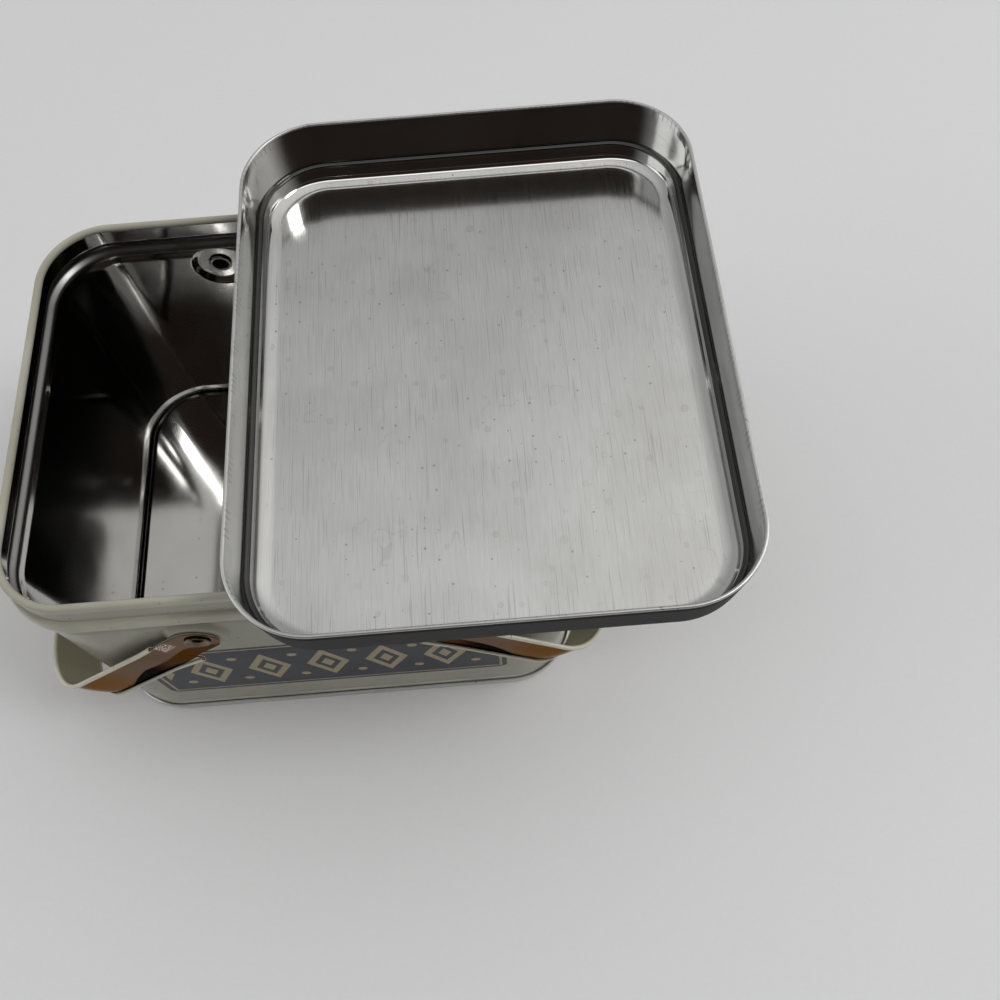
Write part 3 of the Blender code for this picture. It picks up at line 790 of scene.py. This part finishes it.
WEAR_RISE = (0.40, 0.65)
CLINCHED = (0.36, 0.355, 0.34)
BORE_PAINTED_SHADE = (0.012, 0.009, 0.008)
RIVET_PITS = (700.0, 2.0)
RIVET_PIT = 0.02 * MM


def turned_body(profile, steps):
    """Points and faces of a (radius, height) profile carried round Z, its ends on the axis."""
    turn = np.linspace(0, 2 * math.pi, steps, endpoint=False)
    rings = profile[1:-1]
    x = rings[:, 0, None] * np.cos(turn)
    y = rings[:, 0, None] * np.sin(turn)
    z = np.broadcast_to(rings[:, 1, None], x.shape)
    poles = np.array([[0, 0, profile[0, 1]], [0, 0, profile[-1, 1]]])
    points = np.concatenate([np.stack([x, y, z], axis=2).reshape(-1, 3), poles])
    at = np.arange(len(rings) * steps).reshape(len(rings), steps)
    across = np.roll(at, -1, axis=1)
    faces = np.stack([at[:-1], across[:-1], across[1:], at[1:]], axis=2).reshape(-1, 4).tolist()
    first = len(points) - 2
    faces += [(first, b, a) for a, b in zip(at[0].tolist(), across[0].tolist())]
    faces += [(first + 1, a, b) for a, b in zip(at[-1].tolist(), across[-1].tolist())]
    return points, faces


bore = RIVET_RADIUS - TUBE_WALL
out_low = BOSS_PROUD + RIVET_GAP + STRAP_SHEET + HEAD_GAP
in_high = BOSS_PROUD - SHEET - RIVET_GAP
lip = TUBE_WALL / 2
dish_high = out_low + TUBE_WALL
dish_low = dish_high - DISH_DEEP
web_low = in_high + WEB_INSET
rivet_profile = np.concatenate([
    [(0, web_low), (bore, web_low)],
    arc_points((bore + CLINCH, in_high - TUBE_WALL + CLINCH), CLINCH, 180, 270, 8),
    arc_points((RIVET_HEAD - lip, in_high - lip), lip, -90, 90, 10),
    [(RIVET_RADIUS, in_high), (RIVET_RADIUS, out_low)],
    arc_points((RIVET_HEAD - lip, out_low + lip), lip, -90, 90, 12),
    [(RIVET_HEAD - lip - DISH_RIM, dish_high - DISH_FALL)],
    [(DISH_HOLE + DISH_EDGE, dish_low), (DISH_HOLE, dish_low - DISH_LIP)],
    [(DISH_HOLE, web_low + BORE_WEB), (0, web_low + BORE_WEB)],
])
rivet_points, rivet_faces = turned_body(rivet_profile, RIVET_STEPS)
across, along, rivet_height = rivet_points.T
rivet_radius = np.hypot(across, along)
in_bore = (rivet_radius < bore + BORE_REACH[0]) & (rivet_height < dish_low - BORE_REACH[1])
in_dish = (rivet_radius < DISH_HOLE + DISH_LIP) & (rivet_height > out_low)
# Painted shade of the hole: 1 in the bore and on its web, DISH_SHADE on the dish's inner part.
rivet_marks = {"bore": in_bore + DISH_SHADE * (in_dish & ~in_bore)}
rivet_material, tree, shader, coords = new_material("rivet_brass", Specular_IOR_Level=0.20)
x, y, z = parted(coords)
grain = placed_group(rolled_grain, coords, Lines=3200.0)
marks = placed_group(handling, flat_place(x, 0.0, z, 0.0), Cells=1400.0, Share=0.2)
bore_shade = ramp(mark(tree, "bore"), *DEEP_EDGE)
inside_tin = fade(calc("ABSOLUTE", y), HALF_DEPTH + in_high, HALF_DEPTH + out_low)
brass = mixed(ramp(noise(coords, *WEAR_NOISE), *WEAR_RISE), BRASS, BRASS_WORN)
brass = stained_or_shaded(brass, marks["Specks"], *BRASS_SPECKS)
brass = mixed(inside_tin, brass, CLINCHED)
brass_rough = calc("MULTIPLY_ADD", grain["Grain"], *BRASS_ROUGH)
# The painted shade makes the bore dark, matt and barely metallic.
feed(
    shader,
    Base_Color=mixed(bore_shade, brass, BORE_PAINTED_SHADE),
    Metallic=ramp(bore_shade, 0.0, 1.0, 1.0, DEEP_METALLIC),
    Roughness=ramp(bore_shade, 0.0, 1.0, brass_rough, DEEP_ROUGH),
)
bumped(shader, noise(coords, *RIVET_PITS), RIVET_PIT)
for side_y, row in ((-1, "front"), (1, "back")):
    for side_x, end in ((-1, "left"), (1, "right")):
        name = "rivet_" + row + "_" + end
        x = across + side_x * PIVOT_X
        y = side_y * (HALF_DEPTH + rivet_height)
        z = -side_y * along + Z_PIVOT
        rivet = mesh_object(name + "_eyelet", np.stack([x, y, z], axis=1), rivet_faces, rivet_marks)
        rivet.data.materials.append(rivet_material)
        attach(rivet, "tin")
        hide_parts(name)

# Handles
# Each is one strap of tinplate with a round flat tab at both ends. Between them its middle
# is crowned and both edges are rolled outwards, and it is bent to a wide U.
TAB_RADIUS = 4.4 * MM
TAB_TIP = 3.6 * MM
STRAP_WIDTH = 10.6 * MM
STRAP_ROLL = 0.95 * MM
ROLL_TURN = math.radians(258.0)
STRAP_CROWN = 0.35 * MM
STRAP_LIFT = 0.30 * MM
LIFT_START = 5.0 * MM
LIFT_RUN = 8.0 * MM
EDGE_START = 8.2 * MM
FINE_RUN = 2.0 * MM
HANDLE_REACH = 18.0 * MM
HANDLE_BEND = 14.0 * MM
LEFT_HANG_GAP = 2.0 * MM
RIGHT_HANG_GAP = 0.9 * MM
EDGE_FLARE = 1.30 * MM
FLARE_RUN = 7.5 * MM
FLARE_POWER = 1.5
WEB_STEPS = 40
ROLL_STEPS = 14

roll_radius = (STRAP_ROLL - STRAP_SHEET) / 2
roll_centre = STRAP_WIDTH / 2 - STRAP_ROLL / 2
web_slope = math.atan(2 * STRAP_CROWN / roll_centre)
half_web = roll_centre - roll_radius * math.sin(web_slope)
y_leg = HALF_DEPTH + BOSS_PROUD + RIVET_GAP + STRAP_SHEET / 2
grip_out = HALF_LENGTH - PIVOT_X + HANDLE_REACH + STRAP_SHEET / 2
leg_end = grip_out - HANDLE_BEND
bend_length = HANDLE_BEND * math.pi / 2
grip_half = y_leg - HANDLE_BEND


def strap_grid():
    """Middle surface of one strap in its axis's frame: X out, Y along the axis, Z across.

    Rows follow the strap's line, straight, round the bend and across the grip, and are
    closest in the tab and at the cut edges. Columns run over the crowned web and round the
    rolls, which are arcs. The lower edge flares toward the cut. In the tab, squares of the
    round end become circles. The marks "run" and "side" give the distances from the end and
    from the middle.
    """
    tab = ((TAB_RADIUS - TAB_TIP, 18), (EDGE_START, 26), (EDGE_START + FINE_RUN, 9))
    bend_end = leg_end + bend_length
    run = chained(-TAB_TIP, *tab, (leg_end, 15), (bend_end, 32), (bend_end + grip_half, 7))
    run_all = np.concatenate([run, (2 * run[-1] - run[::-1])[1:]])
    from_end = np.minimum(run_all, 2 * run[-1] - run_all)
    turn = np.clip((run_all - leg_end) / HANDLE_BEND, 0, math.pi / 2)
    after = np.clip(run_all - leg_end - bend_length, 0, 2 * grip_half)
    past = np.clip((run_all - leg_end - bend_length - 2 * grip_half) / HANDLE_BEND, 0, math.pi / 2)
    facing = turn + past
    back = np.maximum(0, run_all - leg_end - 2 * bend_length - 2 * grip_half)
    out = np.minimum(run_all, leg_end) + HANDLE_BEND * np.sin(turn)
    out = out - HANDLE_BEND * (1 - np.cos(past)) - back
    across = -y_leg + HANDLE_BEND * (1 - np.cos(turn)) + after + HANDLE_BEND * np.sin(past)

    cut = EDGE_START - 1e-7
    lift = smooth_step((from_end - LIFT_START) / LIFT_RUN)
    s = np.linspace(-1, 1, WEB_STEPS + 1)
    half_width = np.where(from_end < cut, TAB_RADIUS, half_web)
    n_web = half_width[:, None] * s
    d_web = (STRAP_CROWN * (1 - s * s) + STRAP_LIFT) * lift[:, None]
    roll_angle = ROLL_TURN * np.linspace(0, 1, ROLL_STEPS + 1)[1:] - math.pi / 2 - web_slope
    d_roll = roll_radius * (np.sin(roll_angle) + math.cos(web_slope)) + (STRAP_LIFT * lift)[:, None]
    n_roll = half_web + roll_radius * (np.cos(roll_angle) + math.sin(web_slope))
    n_roll = np.broadcast_to(n_roll, d_roll.shape)
    n = np.concatenate([-n_roll[:, ::-1], n_web, n_roll], axis=1)[:, ::-1]
    d = np.concatenate([d_roll[:, ::-1], d_web, d_roll], axis=1)[:, ::-1]
    keep = np.ones((len(run_all) - 1, n.shape[1] - 1), bool)
    flat = np.minimum(from_end[1:], from_end[:-1]) <= cut
    keep[flat, :ROLL_STEPS] = False
    keep[flat, -ROLL_STEPS:] = False
    flare = np.clip(1 - (from_end - EDGE_START) / FLARE_RUN, 0, 1) ** FLARE_POWER
    flare = np.where(from_end < cut, 0.0, flare)
    n = np.where(n < 0, n * (1 + EDGE_FLARE / half_web * flare[:, None]), n)

    centre = TAB_RADIUS - TAB_TIP
    u = from_end[:, None] - centre
    m = np.maximum(np.abs(u), np.abs(n))
    pull = np.where(u < 0, m / (np.hypot(u, n) + 1e-12), 1.0)
    from_end_round = centre + u * pull
    n = n * pull
    shift = from_end_round - from_end[:, None]
    out = out[:, None] + shift + d * np.sin(facing)[:, None]
    across = across[:, None] - d * np.cos(facing)[:, None]
    holed = np.hypot(from_end_round, n) < HOLE_RADIUS
    grid = np.stack([out, across, n], axis=2)
    return grid, keep, holed, {"run": from_end_round, "side": n}


def around(quads):
    """Marks the points at the corners of the marked quads."""
    points = np.zeros((quads.shape[0] + 1, quads.shape[1] + 1), bool)
    for rows in (slice(None, -1), slice(1, None)):
        for columns in (slice(None, -1), slice(1, None)):
            points[rows, columns] |= quads
    return points


def round_hole(grid, keep, holed):
    """Take out the quads of a round hole and draw the points on its border to the circle."""
    gone = holed[:-1, :-1] & holed[1:, :-1] & holed[:-1, 1:] & holed[1:, 1:]
    keep = keep & ~gone
    edge = around(gone) & around(keep)
    distance = np.hypot(grid[..., 0], grid[..., 2]) + 1e-12
    scale = np.where(edge, HOLE_RADIUS / distance, 1.0)
    grid = grid.copy()
    grid[..., 0] *= scale
    grid[..., 2] *= scale
    return grid, keep


def hanging_angle(gap):
    """Angle below level at which the grip's lower rolled edge hangs that far off the end wall."""
    reach = grip_out + STRAP_LIFT + roll_radius * math.cos(web_slope)
    goal = HALF_LENGTH - PIVOT_X + gap + STRAP_ROLL / 2
    return math.acos(goal / math.hypot(reach, roll_centre)) - math.atan2(roll_centre, reach)


# The outer face is copper-toned with a painted dark reflection along its lower half, warm
# near the tab and black further on. The edge colours tint what it mirrors at a slant, and
# are darker inside the painted reflection. The inner face, which the rolled edges turn
# outwards, is cream; its flat part is painted darker olive as painted shade, since it faces
# the wall. The copper face inside the rolls is painted cream too, which paints light into the
# trough beside the web. Near-white sparkles beside the upper cut are painted glints. Metallic
# and roughness are given for the inner and the outer face.
EDGE_TINT = (0.70, 0.60, 0.53)
EDGE_WARM = (0.60, 0.46, 0.35)
EDGE_TINT_IN_REFLECTION = (0.46, 0.43, 0.41)
EDGE_TINT_IN_BLACK_REFLECTION = (0.16, 0.14, 0.13)
COPPER = (0.190, 0.140, 0.110)
COPPER_SHADE = (0.135, 0.097, 0.072)
COPPER_BRIGHT = (0.21, 0.115, 0.065)
COPPER_CLOUDS = (0.35, 0.68)
WARM_RUN = (20 * MM, 32 * MM)
# The painted dark reflection on the outer face: its colours, its share and where it lies.
REFLECTION_WARM = (0.120, 0.050, 0.010)
REFLECTION_BLACK = (0.008, 0.004, 0.002)
REFLECTION_SHARE = 0.95
BLACK_RUN = (10 * MM, 24 * MM)
REFLECTION_FALL = (18 * MM, 40 * MM, 0.0, -5.2 * MM)
REFLECTION_AT_TAB = (-3.0 * MM, 6.0 * MM, -4.2 * MM, -0.4 * MM)
REFLECTION_BORDER = (-0.35 * MM, 0.15 * MM)
RAGGED_NOISE = (160.0, 1.0)
RAGGED_REACH = (0.8 * MM, -0.4 * MM)
GLINTS_RUN = (6.4 * MM, 1.4 * MM, 2.0 * MM)
GLINTS_SIDE = (2.9 * MM, 1.2 * MM, 1.8 * MM)
GLINTS_ROUGH = 0.25
GLINT_COLOUR = (0.80, 0.77, 0.66)
SPARKLE_NOISE = (2600.0, 1.0)
SPARKLE_RISE = (0.42, 0.60)
LACQUER = (0.68, 0.665, 0.57)
LACQUER_SHADE = (0.56, 0.54, 0.44)
LACQUER_PAINTED_SHADE = (0.9, (0.34, 0.32, 0.23))
STRAP_SCRATCHES = (0.35, COPPER_BRIGHT)
STRAP_SPECKS = (0.6, (0.05, 0.04, 0.03))
STRAP_METALLIC = (0.10, 0.96)
STRAP_ROUGH = (0.22, 0.13)
STRAP_SMUDGE = 0.05
STRAP_WAVES = (90.0, 1.0)
STRAP_WAVE = 0.06 * MM
ROLL_EDGE = (half_web - 0.25 * MM, half_web + 0.05 * MM)
FLAT_EDGE = (half_web - 0.3 * MM, half_web + 0.1 * MM)
CUT_EDGE = (EDGE_START, EDGE_START + 0.1 * MM)

handle_material, tree, shader, coords = new_material("copper_lacquer")
grain = placed_group(rolled_grain, coords, Lines=2400.0)
run = mark(tree, "run")
side = mark(tree, "side")
off_side = calc("ABSOLUTE", side)
# Painted light: the copper face inside the rolls, from just before the web's edge, is cream like the inner
# face, which lightens the trough beside the web.
in_roll = product(ramp(off_side, *ROLL_EDGE), ramp(run, *CUT_EDGE))
outer = product(ramp(mark(tree, "face"), *FACE_EDGE), calc("SUBTRACT", 1.0, in_roll))
marks = placed_group(handling, flat_place(run, side, side, 1.0), Cells=520.0, Share=0.12)
copper = mixed(ramp(grain["Clouds"], *COPPER_CLOUDS), COPPER_SHADE, COPPER)
copper = mixed(ramp(run, *WARM_RUN), copper, COPPER_BRIGHT)
# Painted reflection: a dark patch along the lower half of the outer face, ragged along its upper border,
# warm near the tab and black further on; the edge tint darkens inside it too.
reflection_line = calc("ADD", ramp(run, *REFLECTION_FALL), ramp(run, *REFLECTION_AT_TAB))
ragged = calc("MULTIPLY_ADD", noise(coords, *RAGGED_NOISE), *RAGGED_REACH)
in_reflection = fade(calc("SUBTRACT", calc("ADD", side, ragged), reflection_line), *REFLECTION_BORDER)
reflection_colour = mixed(ramp(run, *BLACK_RUN), REFLECTION_WARM, REFLECTION_BLACK)
copper = stained_or_shaded(copper, in_reflection, REFLECTION_SHARE, reflection_colour)
# Painted glints: near-white sparkles beside the upper cut, on the outer face.
sparkles = ramp(noise(coords, *SPARKLE_NOISE), *SPARKLE_RISE)
cut_glints = product(band(run, *GLINTS_RUN), band(side, *GLINTS_SIDE), sparkles)
copper = mixed(cut_glints, copper, GLINT_COLOUR)
copper = stained_or_shaded(copper, marks["Scratches"], *STRAP_SCRATCHES)
cream = mixed(ramp(grain["Clouds"], *CREAM_CLOUDS), LACQUER_SHADE, LACQUER)
# Painted shade: the flat inner face, which faces the wall, is darker olive than the rolled edges.
cream = stained_or_shaded(cream, fade(off_side, *FLAT_EDGE), *LACQUER_PAINTED_SHADE)
edge_tint = mixed(ramp(run, *WARM_RUN), EDGE_TINT, EDGE_WARM)
reflection_tint = mixed(ramp(run, *BLACK_RUN), EDGE_TINT_IN_REFLECTION, EDGE_TINT_IN_BLACK_REFLECTION)
strap_rough = calc("ADD", ramp(outer, 0.0, 1.0, *STRAP_ROUGH), product(cut_glints, GLINTS_ROUGH))
feed(
    shader,
    Base_Color=stained_or_shaded(mixed(outer, cream, copper), marks["Specks"], *STRAP_SPECKS),
    Specular_Tint=mixed(in_reflection, edge_tint, reflection_tint),
    Metallic=ramp(outer, 0.0, 1.0, *STRAP_METALLIC),
    Roughness=calc("MULTIPLY_ADD", marks["Smudges"], STRAP_SMUDGE, strap_rough),
)
bumped(shader, noise(coords, *STRAP_WAVES), STRAP_WAVE)
strap, strap_keep, strap_holed, strap_marks = strap_grid()
strap, strap_keep = round_hole(strap, strap_keep, strap_holed)
for name, side, gap in (("handle_left", -1, LEFT_HANG_GAP), ("handle_right", 1, RIGHT_HANG_GAP)):
    angle = hanging_angle(gap)
    x = PIVOT_X + strap[..., 0] * math.cos(angle) + strap[..., 2] * math.sin(angle)
    z = Z_PIVOT + strap[..., 2] * math.cos(angle) - strap[..., 0] * math.sin(angle)
    placed = np.stack([side * x, side * strap[..., 1], z], axis=2)
    handle = thick_sheet(name + "_strap", placed, STRAP_SHEET, keep=strap_keep, marks=strap_marks)
    handle.data.materials.append(handle_material)
    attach(handle, name)
    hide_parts(name)

# Lid
# A pressed tinplate slip lid with a hemmed skirt, a shoulder and a raised top. It lies
# upside down and crosswise on the rim, so its long side runs from front to back.
LID_PROUD = 0.90 * MM
HEM_HEIGHT = 1.80 * MM
HEM_GAP = 0.10 * MM
LID_SKIRT = 10.0 * MM
LID_DRAFT = 0.85 * MM
SHOULDER_RADIUS = 0.85 * MM
LID_LEDGE = 0.25 * MM
FOOT_RADIUS = 0.3 * MM
TOP_RISE = 3.6 * MM
TOP_LEAN = 0.35 * MM
DISH_RUN = 2.7 * MM
DISH_RISE = 1.25 * MM
DISH_POWER = 4 / 3
DISH_START = 0.02
FLOOR_STEP = 0.5 * MM
LID_CORNER_STEPS = 28
LID_REST_X = 36.4 * MM
LID_REST_Y = -2.1 * MM
REST_GAP = 0.30 * MM
CREASE_BELOW = 0.9
CREASE_ABOVE = 0.25 * MM
HEM_FOLD_ROWS = 5
CRIMPS_APART = 1.1 * MM
CRIMP_WIDTH = 0.16 * MM
CRIMP_NOISE = (260.0, 1.0)
CRIMP_RISE = (0.45, 0.60)

lid_height = LID_SKIRT + TOP_RISE
skirt = LID_PROUD - half
fold = (SHEET + HEM_GAP) / 2
z_shoulder = LID_SKIRT - half
shoulder = SHOULDER_RADIUS - half
lean = LID_DRAFT / (LID_SKIRT - SHOULDER_RADIUS)
upper = skirt - LID_DRAFT
foot = upper - shoulder - LID_LEDGE
head = foot - TOP_LEAN
z_top = lid_height - half
dish_turn = np.linspace(DISH_START, math.pi / 2, 25)
dish = np.stack([
    head - DISH_RUN * (1 - np.cos(dish_turn) ** DISH_POWER),
    z_top - DISH_RISE * (1 - np.sin(dish_turn) ** DISH_POWER),
], axis=1)
hem_steps = np.linspace(HEM_HEIGHT, half + fold, 5)[:-1]
skirt_steps = np.linspace(half + fold, z_shoulder - shoulder, 9)[1:-1]
lid_section = np.concatenate([
    np.stack([skirt - 2 * fold - lean * hem_steps, hem_steps], axis=1),
    arc_points((skirt - fold, half + fold), fold, 180, 360, 12),
    np.stack([skirt - lean * (skirt_steps - half - fold), skirt_steps], axis=1),
    arc_points((upper - shoulder, z_shoulder - shoulder), shoulder, 0, 90, 10),
    arc_points((foot + FOOT_RADIUS, z_shoulder + FOOT_RADIUS), FOOT_RADIUS, 270, 185, 6),
    dish,
    [(head - DISH_RUN - FLOOR_STEP, z_top)],
])
lid_path = rounded_path(
    np.linspace(-straight_x, straight_x, 24), np.linspace(-straight_y, straight_y, 18), LID_CORNER_STEPS
)
lid_local = swept_grid(lid_path, lid_section)
z_lid = Z_RIM + REST_GAP + lid_height
z_floor = z_lid - lid_height
lid_grid = np.stack(
    [lid_local[..., 1] + LID_REST_X, lid_local[..., 0] + LID_REST_Y, z_lid - lid_local[..., 2]], axis=2
)
lid_points = lid_path[0]
lid_steps = np.linalg.norm(np.roll(lid_points, -1, axis=0) - lid_points, axis=1)
row_height = lid_section[:, 1]
crease_rows = row_height > z_shoulder - CREASE_BELOW * shoulder
crease_rows &= row_height < z_shoulder + CREASE_ABOVE
lid_marks = {
    "along": np.concatenate([[0.0], np.cumsum(lid_steps)[:-1]]),
    "hem": (np.arange(len(lid_section)) < len(hem_steps) + HEM_FOLD_ROWS)[:, None],
    "crease": crease_rows[:, None],
}
lid_marks = {key: np.broadcast_to(values, lid_grid.shape[:2]) for key, values in lid_marks.items()}
slip_lid = thick_sheet("slip_lid", lid_grid, SHEET, ring=True, filled=True, marks=lid_marks)

# Inside it is bright, with grain on its floor and water spots; painted shade darkens the
# crease at the shoulder. Its outside is painted flat dark grey as a painted reflection of dark
# surroundings, nearly black by the fold as painted shadow, and this stops at the hem. The
# hem's crimps are painted as dark ticks, painted shade of their wrinkles. Heights count up
# from the floor and down from the hem's fold.
LID_LIGHT = (0.70, 0.705, 0.69)
LID_SHADE = (0.49, 0.49, 0.475)
LID_SMUDGES = (0.22, (0.38, 0.37, 0.34))
LID_SPOTS = (0.60, (0.38, 0.37, 0.34))
LID_DULL = (0.16, 0.155, 0.15)
CREASE_PAINTED_SHADE = (0.95, (0.045, 0.044, 0.043))
LID_SPECKS = (0.50, (0.12, 0.115, 0.11))
LID_SCRATCHES = (0.25, (0.30, 0.29, 0.28))
CRIMP_PAINTED_SHADE = (0.6, (0.18, 0.175, 0.17))
LINE_RISE = (0.30, 0.70)
LINE_SHARE = 0.35
CLOUD_SHARE = 0.65
WALL_CLOUDS = 0.7
DARK_LINES = (0.58, 0.66, 0.0, 0.35)
LID_LEVEL = (0.6 * MM, 1.2 * MM)
FLOOR_REACH = (0.25 * MM, 0.9 * MM)
FILLET_START = (0.35 * MM, 0.9 * MM)
FILLET_END = (10.2 * MM, 10.6 * MM)
FOLD_REACH = (0.2 * MM, 0.5 * MM)
DARK_OUTSIDE_START = (0.20 * MM, 0.35 * MM)
EDGE_REACH = (1.5 * MM, 1.9 * MM)
# The painted dark reflection on the outside and the painted shadow next to the fold.
OUTSIDE_PAINTED_REFLECTION = (0.040, 0.040, 0.040)
FOLD_PAINTED_SHADOW = (0.004, 0.004, 0.004)
HEM_EDGE = (0.3, 0.7)
FLOOR_ROUGH = (0.05, 0.12)
SKIRT_ROUGH = (0.04, 0.08)
FILLET_ROUGH = -0.03
FOLD_ROUGH = 0.38
DARK_OUTSIDE_ROUGH = 0.6
LINE_RELIEF = 0.05
LID_WAVES = (35.0, 1.0)
LID_WAVE = 0.08 * MM

lid_material, tree, shader, coords = new_material("rolled_tinplate", Specular_IOR_Level=0.06)
x, y, z = parted(coords)
from_floor = calc("SUBTRACT", z, z_floor)
from_fold = calc("SUBTRACT", z_lid, z)
level = fade(from_floor, *LID_LEVEL)
grain = placed_group(rolled_grain, coords, Lines=5200.0)
marks = placed_group(handling, flat_place(x, y, z, level), Cells=450.0, Share=0.16)
face = ramp(mark(tree, "face"), *FACE_EDGE)
hem = ramp(mark(tree, "hem"), *HEM_EDGE)
dark_outside = product(face, calc("SUBTRACT", 1.0, hem), ramp(from_fold, *DARK_OUTSIDE_START))
on_floor = fade(from_floor, *FLOOR_REACH)
line_tone = ramp(grain["Grain"], *LINE_RISE)
tone = calc("MULTIPLY_ADD", line_tone, LINE_SHARE, product(grain["Clouds"], CLOUD_SHARE))
tone = ramp(on_floor, 0.0, 1.0, product(grain["Clouds"], WALL_CLOUDS), tone)
plate = mixed(tone, LID_SHADE, LID_LIGHT)
plate = stained_or_shaded(plate, marks["Smudges"], *LID_SMUDGES)
plate = stained_or_shaded(plate, marks["Spots"], *LID_SPOTS)
plate = stained_or_shaded(plate, ramp(grain["Grain"], *DARK_LINES), on_floor, LID_DULL)
# Painted shade: the crease at the shoulder is darkened nearly to black.
plate = stained_or_shaded(plate, mark(tree, "crease"), *CREASE_PAINTED_SHADE)
plate = stained_or_shaded(plate, marks["Specks"], *LID_SPECKS)
plate = stained_or_shaded(plate, marks["Scratches"], *LID_SCRATCHES)
# Painted shade: dark ticks along the hem stand in for the shading of its crimp wrinkles.
crimp = calc("PINGPONG", mark(tree, "along"), CRIMPS_APART / 2)
crimp = product(fade(crimp, CRIMP_WIDTH / 2, CRIMP_WIDTH), hem, face)
crimp = product(crimp, ramp(noise(coords, *CRIMP_NOISE), *CRIMP_RISE))
plate = stained_or_shaded(plate, crimp, *CRIMP_PAINTED_SHADE)
# Painted reflection and painted shadow: flat dark grey for the mirrored dark surroundings, nearly black
# within about 1.5 mm of the fold for the shadow under the hem.
dark_outside_colour = mixed(fade(from_fold, *EDGE_REACH), OUTSIDE_PAINTED_REFLECTION, FOLD_PAINTED_SHADOW)
floor_rough = calc("MULTIPLY_ADD", line_tone, *FLOOR_ROUGH)
skirt_rough = calc("MULTIPLY_ADD", marks["Smudges"], *SKIRT_ROUGH)
bare_rough = ramp(on_floor, 0.0, 1.0, skirt_rough, floor_rough)
on_fillet = product(ramp(from_floor, *FILLET_START), ramp(from_fold, *FILLET_END))
bare_rough = calc("MULTIPLY_ADD", on_fillet, FILLET_ROUGH, bare_rough)
bare_rough = ramp(fade(from_fold, *FOLD_REACH), 0.0, 1.0, bare_rough, FOLD_ROUGH)
feed(
    shader,
    Base_Color=mixed(dark_outside, plate, dark_outside_colour),
    Metallic=calc("SUBTRACT", 1.0, dark_outside),
    Roughness=ramp(dark_outside, 0.0, 1.0, bare_rough, DARK_OUTSIDE_ROUGH),
)
fine_lines = product(grain["Grain"], on_floor, LINE_RELIEF)
bumped(shader, calc("ADD", fine_lines, noise(coords, *LID_WAVES)), LID_WAVE)
slip_lid.data.materials.append(lid_material)
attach(slip_lid, "lid")
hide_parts("lid")
